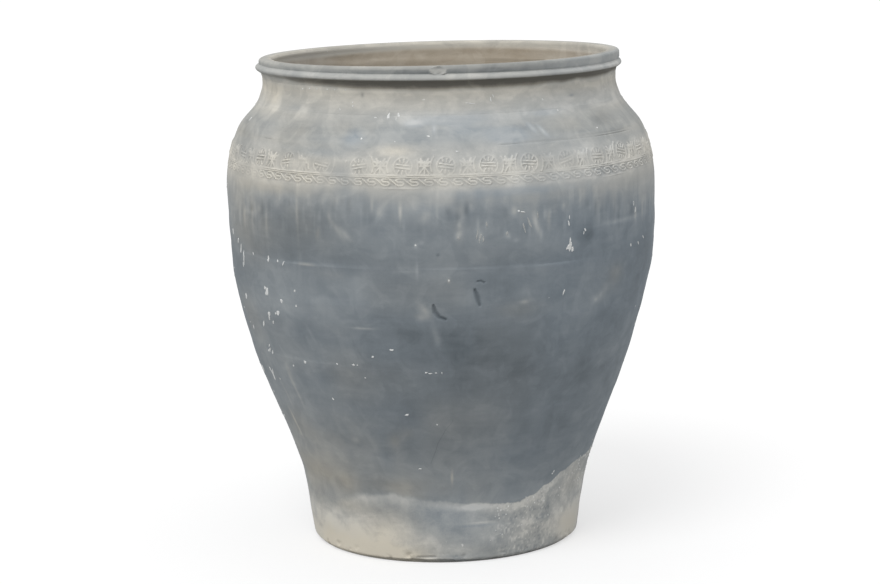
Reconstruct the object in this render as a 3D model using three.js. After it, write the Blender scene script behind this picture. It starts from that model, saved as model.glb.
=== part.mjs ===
// A large storage jar of grey, unglazed earthenware.
// It is raised the way such jars are built: a flat slab, then one thick course of clay after another,
// each lapped down inside the course below and luted to it with slip, and a rolled rim on top.
// Millimetres, +Z up, origin in the middle of the underside.

import * as THREE from "three";

// Base slab
const FOOT_RADIUS = 196;
const SLAB_EDGE_ROUND = 14; // rounded lower edge
const SLAB_SIDE = 6; // upright side above it
const REGISTER_HEIGHT = 6; // raised floor that the foot course is pressed round

// Coil smoothed into the corner between floor and wall
const FILLET_LEG = 18;
const FILLET_EDGE = 2;

// Wall
const WALL_AT_FOOT = 22;
const WALL_AT_NECK = 16;
const LAP_DEPTH = 14; // how far a course reaches down inside the one below
const SLIP_GAP = 0.4; // upright gap left for the slip in every joint

// Courses, each by its height and its outer radius at the top. The courses of the belly give how far
// they are set in there from its widest radius.
const BELLY_RADIUS = 306.8;
const FOOT_COURSE_HEIGHT = 69;
const FOOT_COURSE_RADIUS = 206;
const LOWER_WALL_HEIGHT = 69;
const LOWER_WALL_RADIUS = 228;
const MIDDLE_WALL_HEIGHT = 69;
const MIDDLE_WALL_RADIUS = 254.4;
const UPPER_WALL_HEIGHT = 68;
const UPPER_WALL_RADIUS = 277.8;
const LOWER_BELLY_HEIGHT = 70;
const LOWER_BELLY_SET_IN = 11.2;
const MIDDLE_BELLY_HEIGHT = 71;
const MIDDLE_BELLY_SET_IN = 1.6;
const BELLY_SEAM_HEIGHT = 36;
const UPPER_BELLY_HEIGHT = 71;
const UPPER_BELLY_SET_IN = 1.3;
const STAMPED_BAND_HEIGHT = 55;
const STAMPED_BAND_SET_IN = 17.5;
const SHOULDER_HEIGHT = 39;
const SHOULDER_RADIUS = 260;
const NECK_HEIGHT = 35;
const NECK_RADIUS = 253.5;

// Rim: a flat-topped lip over a groove and a round bead
const BEAD_STEP = 4; // from the neck's top to the bead's underside
const BEAD_ROUND = 6;
const BEAD_PROUD = 9.5; // past the neck
const GROOVE_HEIGHT = 3; // from the bead's top to the lip's face
const LIP_HEIGHT = 9;
const LIP_WIDTH = 17;
const LIP_PROUD = 6; // past the neck
const LIP_EDGE_ROUND = 4;

// Fineness of the facets
const FACETS_AROUND = 60;
const ROW_HEIGHT = 30;
const LEAST_ROWS = 2;
const ARC_STEPS = 4;

const DOWN = -Math.PI / 2;
const OUT = 0;
const UP = Math.PI / 2;
const IN = Math.PI;

const jar = new THREE.Group();

// Courses from the foot to the neck, with the clay's colour on each
const courses = [
  { name: "foot_course", height: FOOT_COURSE_HEIGHT, radius: FOOT_COURSE_RADIUS, color: 0xa3a39c },
  { name: "lower_wall_course", height: LOWER_WALL_HEIGHT, radius: LOWER_WALL_RADIUS, color: 0x747a7c },
  { name: "middle_wall_course", height: MIDDLE_WALL_HEIGHT, radius: MIDDLE_WALL_RADIUS, color: 0x6c7376 },
  { name: "upper_wall_course", height: UPPER_WALL_HEIGHT, radius: UPPER_WALL_RADIUS, color: 0x6e7578 },
  { name: "lower_belly_course", height: LOWER_BELLY_HEIGHT, setIn: LOWER_BELLY_SET_IN, color: 0x727a7d },
  { name: "middle_belly_course", height: MIDDLE_BELLY_HEIGHT, setIn: MIDDLE_BELLY_SET_IN, color: 0x767d81 },
  { name: "belly_seam_course", height: BELLY_SEAM_HEIGHT, radius: BELLY_RADIUS, color: 0x7d8487 },
  { name: "upper_belly_course", height: UPPER_BELLY_HEIGHT, setIn: UPPER_BELLY_SET_IN, color: 0x898e8e },
  { name: "stamped_band_course", height: STAMPED_BAND_HEIGHT, setIn: STAMPED_BAND_SET_IN, color: 0xb8b5ae },
  { name: "shoulder_course", height: SHOULDER_HEIGHT, radius: SHOULDER_RADIUS, color: 0xadaeac },
  { name: "neck_collar", height: NECK_HEIGHT, radius: NECK_RADIUS, color: 0xaca9a2 },
];

// Revolved solid from a closed outline of (radius, height) points, run upwards on the outside
function turned(name, outline, color) {
  const geometry = new THREE.LatheGeometry(outline, FACETS_AROUND);
  geometry.rotateX(Math.PI / 2);
  const clay = new THREE.MeshStandardMaterial({ color, roughness: 0.9, metalness: 0 });
  const mesh = new THREE.Mesh(geometry, clay);
  mesh.name = name;
  jar.add(mesh);
}

function ring(name, outline, color) {
  turned(name, [...outline, outline[0]], color);
}

function at(radius, height) {
  return new THREE.Vector2(radius, height);
}

// Points of a round stretch, as seen in the section
function arc(middle, round, from, to) {
  const points = [];
  for (let step = 0; step <= ARC_STEPS; step++) {
    const turn = THREE.MathUtils.lerp(from, to, step / ARC_STEPS);
    points.push(at(middle.x + round * Math.cos(turn), middle.y + round * Math.sin(turn)));
  }
  return points;
}

// The wall's outer line is one smooth curve through the seams. A seam number counts from 0 at the slab,
// and its fractions lie part-way up a course.
const slabTop = SLAB_EDGE_ROUND + SLAB_SIDE;
const seams = [new THREE.Vector3(FOOT_RADIUS, 0, slabTop)];
for (const { height, radius, setIn } of courses) {
  seams.push(new THREE.Vector3(radius ?? BELLY_RADIUS - setIn, 0, seams.at(-1).z + height));
}
const outerLine = new THREE.CatmullRomCurve3(seams, false, "centripetal");

function outerPoint(seam) {
  const point = outerLine.getPoint(seam / courses.length);
  return at(point.x, point.z);
}

// The inner line keeps the wall's thickness, which thins steadily from foot to neck
function innerPoint(seam) {
  const share = seam / courses.length;
  const wall = THREE.MathUtils.lerp(WALL_AT_FOOT, WALL_AT_NECK, share);
  const along = outerLine.getTangent(share);
  const outer = outerPoint(seam);
  return at(outer.x - wall * along.z, outer.y + wall * along.x);
}

// Inner end of the lapped joint at a seam, on the course below it
function lapPoint(seam, lift = 0) {
  return innerPoint(seam - (LAP_DEPTH - lift) / courses[seam - 1].height);
}

const floorHeight = slabTop + REGISTER_HEIGHT;
const footInner = at(FOOT_RADIUS - WALL_AT_FOOT, slabTop + SLIP_GAP);

function buildSlab() {
  const edgeMiddle = at(FOOT_RADIUS - SLAB_EDGE_ROUND, SLAB_EDGE_ROUND);
  const registerRadius = footInner.x - SLIP_GAP;
  const outline = [
    at(0, 0),
    ...arc(edgeMiddle, SLAB_EDGE_ROUND, DOWN, OUT),
    at(FOOT_RADIUS, slabTop),
    at(registerRadius, slabTop),
    at(registerRadius, floorHeight),
    at(0, floorHeight),
  ];
  turned("base_slab", outline, 0x8d8b86);
}

function buildCourse(course, number) {
  const rows = Math.max(LEAST_ROWS, Math.round(course.height / ROW_HEIGHT));
  const bottom = number + SLIP_GAP / course.height;
  const innerTop = number + 1 - LAP_DEPTH / course.height;
  const outline = [];
  for (let row = 0; row <= rows; row++) {
    outline.push(outerPoint(THREE.MathUtils.lerp(bottom, number + 1, row / rows)));
  }
  for (let row = rows; row > 0; row--) {
    outline.push(innerPoint(THREE.MathUtils.lerp(number, innerTop, row / rows)));
  }
  outline.push(number === 0 ? footInner : lapPoint(number, SLIP_GAP));
  ring(course.name, outline, course.color);
  return outline;
}

// The fillet leans on the lowest facet of the foot course's inner face
function buildFillet(footOutline) {
  const wallAbove = footOutline.at(-2);
  const lean = (wallAbove.x - footInner.x) / (wallAbove.y - footInner.y);
  const bottom = floorHeight + SLIP_GAP;
  const wallRadius = (height) => footInner.x - SLIP_GAP + lean * (height - footInner.y);
  const outer = at(wallRadius(bottom), bottom);
  const top = at(wallRadius(bottom + FILLET_LEG), bottom + FILLET_LEG);
  const hollow = at(outer.x - FILLET_LEG, top.y);
  ring("floor_fillet_coil", [outer, top, ...arc(hollow, FILLET_LEG - FILLET_EDGE, OUT, DOWN),
    at(hollow.x, bottom)], 0x978c7d);
}

function buildRim() {
  const neckTop = courses.length;
  const neck = outerPoint(neckTop);
  const beadMiddle = at(neck.x + BEAD_PROUD - BEAD_ROUND, neck.y + BEAD_STEP + BEAD_ROUND);
  const lipBottom = at(neck.x + LIP_PROUD, beadMiddle.y + BEAD_ROUND + GROOVE_HEIGHT);
  const edgeHeight = lipBottom.y + LIP_HEIGHT - LIP_EDGE_ROUND;
  const outerEdge = at(lipBottom.x - LIP_EDGE_ROUND, edgeHeight);
  const innerEdge = at(lipBottom.x - LIP_WIDTH + LIP_EDGE_ROUND, edgeHeight);
  const outline = [
    at(neck.x, neck.y + SLIP_GAP),
    ...arc(beadMiddle, BEAD_ROUND, DOWN, UP),
    lipBottom,
    ...arc(outerEdge, LIP_EDGE_ROUND, OUT, UP),
    ...arc(innerEdge, LIP_EDGE_ROUND, UP, IN),
    innerPoint(neckTop),
    lapPoint(neckTop, SLIP_GAP),
  ];
  ring("rim_roll", outline, 0xb0ada5);
}

buildSlab();
const outlines = courses.map(buildCourse);
buildFillet(outlines[0]);
buildRim();

export default jar;
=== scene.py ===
import math

import bmesh
import bpy
import numpy as np
from mathutils import Matrix, Vector


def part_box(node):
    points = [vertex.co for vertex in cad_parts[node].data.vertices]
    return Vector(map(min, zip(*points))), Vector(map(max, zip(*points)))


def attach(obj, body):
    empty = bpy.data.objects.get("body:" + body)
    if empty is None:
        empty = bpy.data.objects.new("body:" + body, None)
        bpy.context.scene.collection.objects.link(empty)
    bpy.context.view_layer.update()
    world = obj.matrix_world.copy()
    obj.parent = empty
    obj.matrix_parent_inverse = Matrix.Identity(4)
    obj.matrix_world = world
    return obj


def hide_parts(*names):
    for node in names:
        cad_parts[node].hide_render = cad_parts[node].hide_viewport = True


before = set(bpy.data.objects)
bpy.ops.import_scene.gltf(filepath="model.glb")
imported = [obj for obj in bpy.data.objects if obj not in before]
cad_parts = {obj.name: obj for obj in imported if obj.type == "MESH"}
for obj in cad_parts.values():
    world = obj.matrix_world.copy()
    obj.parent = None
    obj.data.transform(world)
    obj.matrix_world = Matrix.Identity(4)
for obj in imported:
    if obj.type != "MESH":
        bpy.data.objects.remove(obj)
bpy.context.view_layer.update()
scene = bpy.context.scene
scene.view_settings.view_transform = "Standard"

# Turn is the angle round the jar: 0 faces the camera (-Y), and it grows to the right
courses = ["foot_course", "lower_wall_course", "middle_wall_course", "upper_wall_course",
           "lower_belly_course", "middle_belly_course", "belly_seam_course", "upper_belly_course",
           "stamped_band_course", "shoulder_course", "neck_collar"]


def nodeSection(node):  # radius and height of every CAD vertex
    co = np.array([v.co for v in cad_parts[node].data.vertices])
    return np.hypot(co[:, 0], co[:, 1]), co[:, 2]


def outerTop(node):  # outer edge where the next course sits
    radius, height = nodeSection(node)
    top = height.max()
    return np.array((radius[height > top - 1e-4].max(), top))


def smoothLine(points, perSpan):  # centripetal Catmull-Rom line, the CAD wall's own curve
    ends = [2 * points[0] - points[1], *points, 2 * points[-1] - points[-2]]
    t = np.linspace(0, 1, perSpan, endpoint=False)[:, None]
    spans = []
    for a, b, c, d in zip(ends, ends[1:], ends[2:], ends[3:]):
        ab, bc, cd = (math.sqrt(np.linalg.norm(q - p)) for p, q in ((a, b), (b, c), (c, d)))
        start = ((b - a) / ab - (c - a) / (ab + bc) + (c - b) / bc) * bc
        stop = ((c - b) / bc - (d - b) / (bc + cd) + (d - c) / cd) * bc
        square, cube = 3 * c - 3 * b - 2 * start - stop, 2 * b - 2 * c + start + stop
        spans.append(b + start * t + square * t**2 + cube * t**3)
    return np.vstack([*spans, points[-1][None]])


slabRadius = nodeSection("base_slab")[0].max()
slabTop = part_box("foot_course")[0].z
seams = [np.array((slabRadius, slabTop))] + [outerTop(node) for node in courses]
wallLine = smoothLine(seams, 40)
wallSlope = np.gradient(wallLine[:, 0], wallLine[:, 1])
neckRadius, neckTop = seams[-1]
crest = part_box("rim_roll")[1].z
print("wall line through", len(seams), "seams, crest at", round(crest, 4))

wall = {"foot": 0.022, "neck": 0.016, "lap": 0.014}


def outerRadius(height):
    return np.interp(height, wallLine[:, 1], wallLine[:, 0])


def slopeAt(height):
    return np.interp(height, wallLine[:, 1], wallSlope)


def innerPoint(height):  # across the wall from the outer line
    thickness = np.interp(height, (slabTop, neckTop), (wall["foot"], wall["neck"]))
    across = thickness / math.sqrt(1 + slopeAt(height) ** 2)
    return outerRadius(height) - across, height + across * slopeAt(height)


def lumps(turn, height, around, rise, seed):  # smooth random field from -1 to 1 that closes round the jar
    rng = np.random.default_rng(seed)
    grid = rng.uniform(-1, 1, (int(0.78 / rise) + 3, around))
    u = (turn / (2 * math.pi)) % 1 * around
    v = (height + 0.02) / rise
    i, j = np.floor(u).astype(int), np.floor(v).astype(int)
    a, b = (q * q * q * (q * (6 * q - 15) + 10) for q in (u - i, v - j))
    low = grid[j, i % around] * (1 - a) + grid[j, (i + 1) % around] * a
    high = grid[j + 1, i % around] * (1 - a) + grid[j + 1, (i + 1) % around] * a
    return low * (1 - b) + high * b


def ease(value, start, stop):  # smooth step from 0 to 1
    t = np.clip((value - start) / (stop - start), 0, 1)
    return t * t * (3 - 2 * t)


def span(value, start, full, fade, end):  # 1 from full to fade, and 0 outside
    return ease(value, start, full) * (1 - ease(value, fade, end))


def turnFrom(turn, degrees):  # signed turn from a place, in degrees
    return (np.degrees(turn) - degrees + 180) % 360 - 180


def hump(value, middle, spread):
    return np.exp(-((value - middle) / spread) ** 2)


def bell(turn, degrees, spread):  # hump round a turn
    return hump(turnFrom(turn, degrees), 0, spread)


def roundTurn(turn, places):  # value set at a few turns, smooth between them and closed at the back
    at = np.array(sorted(places), dtype=float)
    value = np.tile([places[key] for key in sorted(places)], 3)
    at = np.concatenate([at - 360, at, at + 360])
    degrees = np.degrees(turn)
    i = np.clip(np.searchsorted(at, degrees) - 1, 0, len(at) - 2)
    t = ease((degrees - at[i]) / (at[i + 1] - at[i]), 0, 1)
    return value[i] * (1 - t) + value[i + 1] * t


def atTurn(turn, radius, height):
    return np.stack([radius * np.sin(turn), -radius * np.cos(turn), height], -1)


def byHeight(height, places):
    return np.interp(height, list(places), list(places.values()))


def meshFrom(bm, name):
    mesh = bpy.data.meshes.new(name)
    bm.to_mesh(mesh)
    bm.free()
    return mesh


def addObject(name, data):
    made = bpy.data.objects.new(name, data)
    scene.collection.objects.link(made)
    return made


def vertexPlaces(mesh):
    co = np.zeros(len(mesh.vertices) * 3)
    mesh.vertices.foreach_get("co", co)
    return co.reshape(-1, 3)


# Stamped band: a running fret under a row of roundels and florets, all in low relief
band = {"repeats": 33, "firstTurn": 1.5, "middle": 0.5735, "line": 0.0009, "rise": 0.0016, "sink": 0.0004,
        "ring": 0.0120, "sideArc": 0.0202, "arcHalf": 0.0106, "panel": 0.0132, "leaf": 0.0006,
        "fretUnits": 99, "fretMiddle": 0.5527, "fretHalf": 0.0041, "borders": (0.5446, 0.5593, 0.5618),
        "reach": (0.540, 0.592), "floretHalf": (0.0078, 0.0112), "tilt": 0.25, "sag": 0.0012, "seed": 21}
# Uneven spacing of the stamps, in degrees
stampShift = {-180: 0, -110: 0, -68: 2.6, -53: 2.5, -42: 1.5, -31: 0.9, -20: 0.8, -9: 0, 100: 0}
# How much of the stamps is worn away
stampWear = {-180: 0.5, -75: 0.4, -60: 0.4, -45: 0.8, -30: 0.85, -18: 0.6, -8: 0.25, 5: 0.35, 24: 0.3,
             33: 0.4, 44: 0.25, 56: 0.2, 66: 0.3, 75: 0.6, 120: 0.5}
roundelStrokes = [((0, 0.0020), (0.0092, 0.0020)), ((0, 0.0050), (0, 0.0096)),
                  ((0.0042, 0.0050), (0.0060, 0.0086))]  # mirrored both ways
floretStrokes = [((0, -0.0092), (0, 0.0060)), ((0, 0), (0.0060, 0)),
                 ((0.0010, -0.0020), (0.0060, -0.0094))]  # mirrored left and right
floretLeaves = [((0.0014, 0.0030), (0.0052, 0.0090)), ((0.0040, 0.0026), (0.0066, 0.0052))]
fretLine = [(1.38, -1), (0.80, 1), (0.36, 1), (0.24, 0.52), (0.36, 0.04), (0.70, 0.04), (0.82, -0.48),
            (0.70, -1), (0.38, -1), (-0.20, 1)]  # in shares of a unit and of half the height


def toStroke(x, y, a, b):  # distance to a straight stroke
    ax, ay = a
    dx, dy = b[0] - ax, b[1] - ay
    t = np.clip(((x - ax) * dx + (y - ay) * dy) / (dx * dx + dy * dy), 0, 1)
    return np.hypot(x - ax - t * dx, y - ay - t * dy)


def toStrokes(x, y, strokes):  # distance to the nearest of them
    return np.min([toStroke(x, y, a, b) for a, b in strokes], axis=0)


def drawn(distance):  # raised line of the stamps, 1 along its middle
    return 1 - ease(distance, band["line"] * 0.5, band["line"] * 1.5)


def stampRow(turn):  # place along the row in stamps, from the first roundel on, and the length of one
    degrees = turnFrom(turn, band["firstTurn"]) + roundTurn(turn, stampShift)
    return degrees / 360 * band["repeats"], 2 * math.pi * outerRadius(band["middle"]) / band["repeats"]


def roundels(turn, height):
    repeat, pitch = stampRow(turn)
    number = np.round(repeat).astype(int)
    rng = np.random.default_rng(band["seed"])
    tilt, sag = (rng.uniform(-band[key], band[key], band["repeats"])[number % band["repeats"]]
                 for key in ("tilt", "sag"))
    x, y = (repeat - number) * pitch, height - band["middle"] - sag
    x, y = x * np.cos(tilt) - y * np.sin(tilt), x * np.sin(tilt) + y * np.cos(tilt)
    out = np.hypot(x, y)
    ring = drawn(np.abs(out - band["ring"]))
    ring *= 0.35 + 0.55 * np.abs(x) / (out + 1e-6)  # faint above and below
    off = np.where(np.abs(y) < band["arcHalf"], np.abs(out - band["sideArc"]), 1)
    off = np.minimum(off, toStrokes(np.abs(x), np.abs(y), roundelStrokes))
    wear = np.clip(0.85 + 0.45 * lumps(turn, height, 60, 0.5, 34), 0.3, 1)
    return np.maximum(drawn(off), ring) * wear, (1 - ease(out, band["panel"] - 0.001, band["panel"])) * wear


def florets(turn, height):  # half-way between the roundels
    repeat, pitch = stampRow(turn)
    side, up = np.abs(repeat - np.floor(repeat) - 0.5) * pitch, height - band["middle"]
    off = np.minimum(toStrokes(side, up, floretStrokes), toStrokes(side, up, floretLeaves) - band["leaf"])
    wear = np.clip(0.85 + 0.45 * lumps(turn, height, 52, 0.5, 35) - 0.9 * bell(turn, -29, 12), 0.05, 1)
    across, rise = band["floretHalf"]
    return drawn(off) * wear, (1 - ease(np.maximum(side / across, np.abs(up) / rise), 0.9, 1)) * wear


def fretBorder(turn, height):
    unit = turnFrom(turn, band["firstTurn"] + 1) / 360 * band["fretUnits"]
    width = 2 * math.pi * outerRadius(band["fretMiddle"]) / band["fretUnits"]
    along, up = (unit - np.floor(unit)) * width, height - band["fretMiddle"]
    points = [(x * width, y * band["fretHalf"]) for x, y in fretLine]
    lines = drawn(toStrokes(along, up, zip(points, points[1:])))
    for number, border in enumerate(band["borders"]):
        near = np.abs(height - border - 0.0004 * lumps(turn, height, 40, 0.5, 31))
        kept = 0.7
        if number == 0:  # the lowest is broken
            kept = 0.35 * ease(lumps(turn, height * 0, 34, 0.5, 39), 0.1, 0.6)
        lines = np.maximum(lines, kept * (1 - ease(near, 0.0004, 0.0011)))
    wear = np.clip(0.85 + 0.6 * lumps(turn, height, 38, 0.5, 36), 0.25, 1)
    ground = 1 - ease(np.abs(up), band["fretHalf"] + 0.0008, band["fretHalf"] + 0.0018)
    return lines * wear, ground * wear


def bandRelief(turn, height):  # raised lines and sunk ground of the stamps, both from 0 to 1, after wear
    lines, ground = (np.max(both, axis=0) for both in zip(roundels(turn, height), florets(turn, height)))
    broken = lumps(turn, height, 150, 0.012, 37) + 0.5 * lumps(turn, height, 330, 0.006, 38)
    left = 1 - roundTurn(turn, stampWear) * ease(broken, -0.35, 0.2)
    fret, fretGround = fretBorder(turn, height)
    fret *= 1 - 0.4 * ease(broken, 0.0, 0.5)
    return np.maximum(lines * left, fret), np.maximum(ground * left, fretGround)


# Marks of the making and of long use
warp = {"oval": 0.0012, "ovalTurn": 0.6, "trefoil": 0.0007, "lump": 0.0016, "ring": 0.0005, "dent": 0.0005,
        "neckWaist": 0.0026, "footShift": 0.0015, "lipRise": 0.0010, "lipLean": (0.0105, -0.0035),
        "lipShift": 0.0013, "innerRidge": 0.0007, "ridgePitch": 0.034, "innerLump": 0.0012,
        "baseNick": 0.0028, "waistHeight": 0.660, "waistSpread": 0.012}
swells = [  # where the wall bulges: turn, height, spread of both, how far
    (-85, 0.385, 35, 0.030, 0.0018), (-85, 0.255, 35, 0.060, 0.0014), (85, 0.415, 35, 0.040, 0.0020),
    (85, 0.240, 35, 0.070, 0.0009), (-85, 0.500, 35, 0.050, 0.0010),
]
ledges = [  # a course that stands back behind the one below it, and the turns where that shows
    {"height": 0.4355, "step": 0.0013,
     "shows": {-75: 0.2, -40: 1, -25: 0.8, -12: 0.15, 6: 0.7, 17: 0.8, 31: 1, 40: 0.2, 70: 0.1, 120: 0.7,
               180: 0.4, 230: 0.8}},
    {"height": 0.4770, "step": 0.0005,
     "shows": {-60: 0.1, 36: 0, 48: 0.7, 62: 0.8, 80: 0.4, 140: 0.2, 200: 0.7}},
    {"height": 0.2945, "step": 0.0005, "shows": {-60: 0.6, -30: 0.7, 0: 0.3, 60: 0.3, 130: 0.6, 180: 0.4}},
    {"height": 0.6370, "step": 0.0006, "shows": {-60: 0.6, 0: 0.5, 60: 0.8, 180: 0.6}},
    {"height": 0.3645, "step": 0.0003, "shows": {-60: 0.3, 40: 0.5, 160: 1}},
    {"height": 0.2265, "step": 0.0003, "shows": {-60: 0.3, 40: 0.5, 160: 1}},
]
scribed = [  # fine lines drawn round above the band
    {"height": 0.5986, "from": 14, "to": 68}, {"height": 0.6012, "from": 37, "to": 70},
    {"height": 0.5990, "from": -60, "to": -50}, {"height": 0.5994, "from": 110, "to": 175},
    {"height": 0.6016, "from": 128, "to": 160},
]
gouges = [  # points of turn and height along each gouge
    {"points": [(-2.3, 0.3875), (-1.9, 0.3775), (-0.9, 0.3705), (0.7, 0.3675)], "half": 0.0038,
     "depth": 0.0022},
    {"points": [(8.2, 0.4080), (8.9, 0.3970), (9.5, 0.3860)], "half": 0.0042, "depth": 0.0019},
    {"points": [(8.9, 0.4196), (9.8, 0.4200), (10.5, 0.4172)], "half": 0.0030, "depth": 0.0010},
    {"points": [(-12.0, 0.0090), (-4.5, 0.0098)], "half": 0.0032, "depth": 0.0016},
    {"points": [(3.9, 0.0112), (4.9, 0.0108)], "half": 0.0022, "depth": 0.0008},
]
crack = {-5.3: 0.152, 0.1: 0.2045, 2.6: 0.2165, 3.2: 0.328}  # turns and heights along the hairline crack


def gougeDepth(turn, height):  # depth of the gouges, and 1 at their bottoms
    depth, bottom = np.zeros_like(height), np.zeros_like(height)
    for gouge in gouges:
        first, top = gouge["points"][0]
        low = gouge["points"][-1][1]
        x = np.radians(turnFrom(turn, first)) * outerRadius(top)
        line = [(math.radians(t - first) * outerRadius(top), z) for t, z in gouge["points"]]
        off = toStrokes(x, height, zip(line, line[1:]))
        along = np.clip((height - low) / (top - low), 0, 1)
        half = gouge["half"] * (0.45 + 0.9 * np.sin(math.pi * (0.12 + 0.8 * along)))
        hit = 1 - ease(off / half, 0, 1)
        depth, bottom = np.maximum(depth, hit * gouge["depth"]), np.maximum(bottom, hit)
    return depth, bottom


def crackOffset(turn, height):  # distance from the crack, along the wall
    turns, heights = list(crack), list(crack.values())
    line = np.interp(height, heights, turns) + 0.30 * lumps(turn * 0, height, 1, 0.017, 51)
    off = np.abs(np.radians(turnFrom(turn, 0) - line)) * outerRadius(height)
    off += np.maximum(0, np.maximum(heights[0] - height, height - heights[-1]))
    return off + 0.0006 * ease(height, 0.200, 0.235)  # fainter above


def skinRelief(turn, height):  # how far the outer skin stands proud of the wall line
    relief = warp["lump"] * lumps(turn, height, 9, 0.16, 3)
    relief += warp["dent"] * lumps(turn, height, 34, 0.045, 5)
    relief += warp["ring"] * lumps(turn, height, 12, 0.021, 8)
    relief -= warp["neckWaist"] * hump(height, warp["waistHeight"], warp["waistSpread"])
    for degrees, at, spread, up, out in swells:
        relief += out * bell(turn, degrees, spread) * hump(height, at, up)
    for number, ledge in enumerate(ledges):
        seam = ledge["height"] + 0.0022 * lumps(turn, height * 0, 22, 0.5, 100 + number)
        back = span(height - seam, -0.001, 0.0016, 0.004, 0.034)
        relief -= ledge["step"] * roundTurn(turn, ledge["shows"]) * back
    for line in scribed:
        middle, reach = (line["from"] + line["to"]) / 2, (line["to"] - line["from"]) / 2
        shown = 1 - ease(np.abs(turnFrom(turn, middle)), reach - 4, reach)
        off = np.abs(height - line["height"] - 0.0006 * lumps(turn, height * 0, 26, 0.5, 17))
        relief -= 0.0007 * shown * (1 - ease(off, 0.0003, 0.0013))
    return relief - gougeDepth(turn, height)[0]


# Tones of the clay: pale runs from 0 slate to 1 cream, warm from 0 blue to 1 beige
bodyPale = {0: 0.52, 0.09: 0.5, 0.11: 0.45, 0.13: 0.42, 0.15: 0.35, 0.175: 0.29, 0.2: 0.27, 0.26: 0.22,
            0.32: 0.21, 0.35: 0.23, 0.38: 0.3, 0.41: 0.31, 0.44: 0.27, 0.49: 0.35, 0.53: 0.43, 0.56: 0.5}
chalkPale = {0.49: 0.54, 0.51: 0.58, 0.53: 0.65, 0.545: 0.82, 0.56: 0.85, 0.575: 0.82, 0.585: 0.77,
             0.595: 0.68, 0.605: 0.61, 0.618: 0.59, 0.626: 0.68, 0.633: 0.77, 0.645: 0.79, 0.655: 0.77,
             0.67: 0.84, 0.685: 0.73, 0.7: 0.73}
chalkWarm = {0.49: 0.14, 0.52: 0.22, 0.535: 0.38, 0.55: 0.6, 0.575: 0.58, 0.59: 0.42, 0.605: 0.22,
             0.618: 0.2, 0.63: 0.34, 0.645: 0.52, 0.665: 0.72, 0.68: 0.4, 0.69: 0.36, 0.697: 0.5,
             0.7: 0.58}
# Turns and heights of the lower edge of the chalky film, which runs down from the stamped band
chalkEdge = {-180: 0.515, -140: 0.5, -100: 0.508, -72: 0.498, -58: 0.512, -42: 0.528, -26: 0.536,
             -15: 0.522, -8: 0.512, 0: 0.522, 8: 0.528, 16: 0.521, 24: 0.515, 35: 0.524, 46: 0.516,
             54: 0.506, 66: 0.5, 80: 0.496, 110: 0.512, 145: 0.524}
# Turns and heights where the pale foot ends
footEdge = {-180: 0.094, -150: 0.108, -110: 0.098, -75: 0.072, -52: 0.072, -44: 0.084, -35: 0.0965,
            -22: 0.1025, -14: 0.0995, -9: 0.0945, -2: 0.0925, 9: 0.089, 28: 0.083, 36: 0.089, 43: 0.101,
            51: 0.114, 61: 0.125, 70: 0.128, 78: 0.13, 100: 0.122, 130: 0.098, 155: 0.086}
# How much paler the foot is just below that edge
footBand = {-180: 0, -48: 0, -40: 0.07, -30: 0.09, -18: 0.07, -10: 0.08, -4: 0.17, 4: 0.2, 14: 0.14,
            24: 0.18, 34: 0.24, 46: 0.26, 56: 0.1, 66: 0.06, 76: 0.2, 90: 0.05, 130: 0}
# How soft that edge is
footBlur = {-180: 2, -110: 6, -70: 12, -50: 10, -40: 5, -30: 2.5, -10: 2.2, 2: 1.6, 12: 1, 40: 0.7,
            70: 0.7, 110: 1}
# How high the painted shade on the base's bevel goes
baseBevelShade = {-180: 0.005, -80: 0.004, -50: 0.0046, -30: 0.0062, -15: 0.0066, 0: 0.006, 10: 0.005,
             20: 0.0034, 80: 0.0034, 120: 0.005}
# Where fine streaks hang below the chalky film
streaky = {-180: 0.6, -75: 0.9, -55: 0.8, -40: 0.5, -25: 0.6, -10: 0.8, 5: 1, 30: 1, 42: 0.5, 60: 0.6,
           110: 0.7}
# Beige share of the inside
insideWarm = {-180: 1, -150: 0.9, -125: 0.5, -100: 0.3, -60: 0.4, 0: 0.7, 60: 0.8, 110: 0.75, 150: 1}
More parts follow.
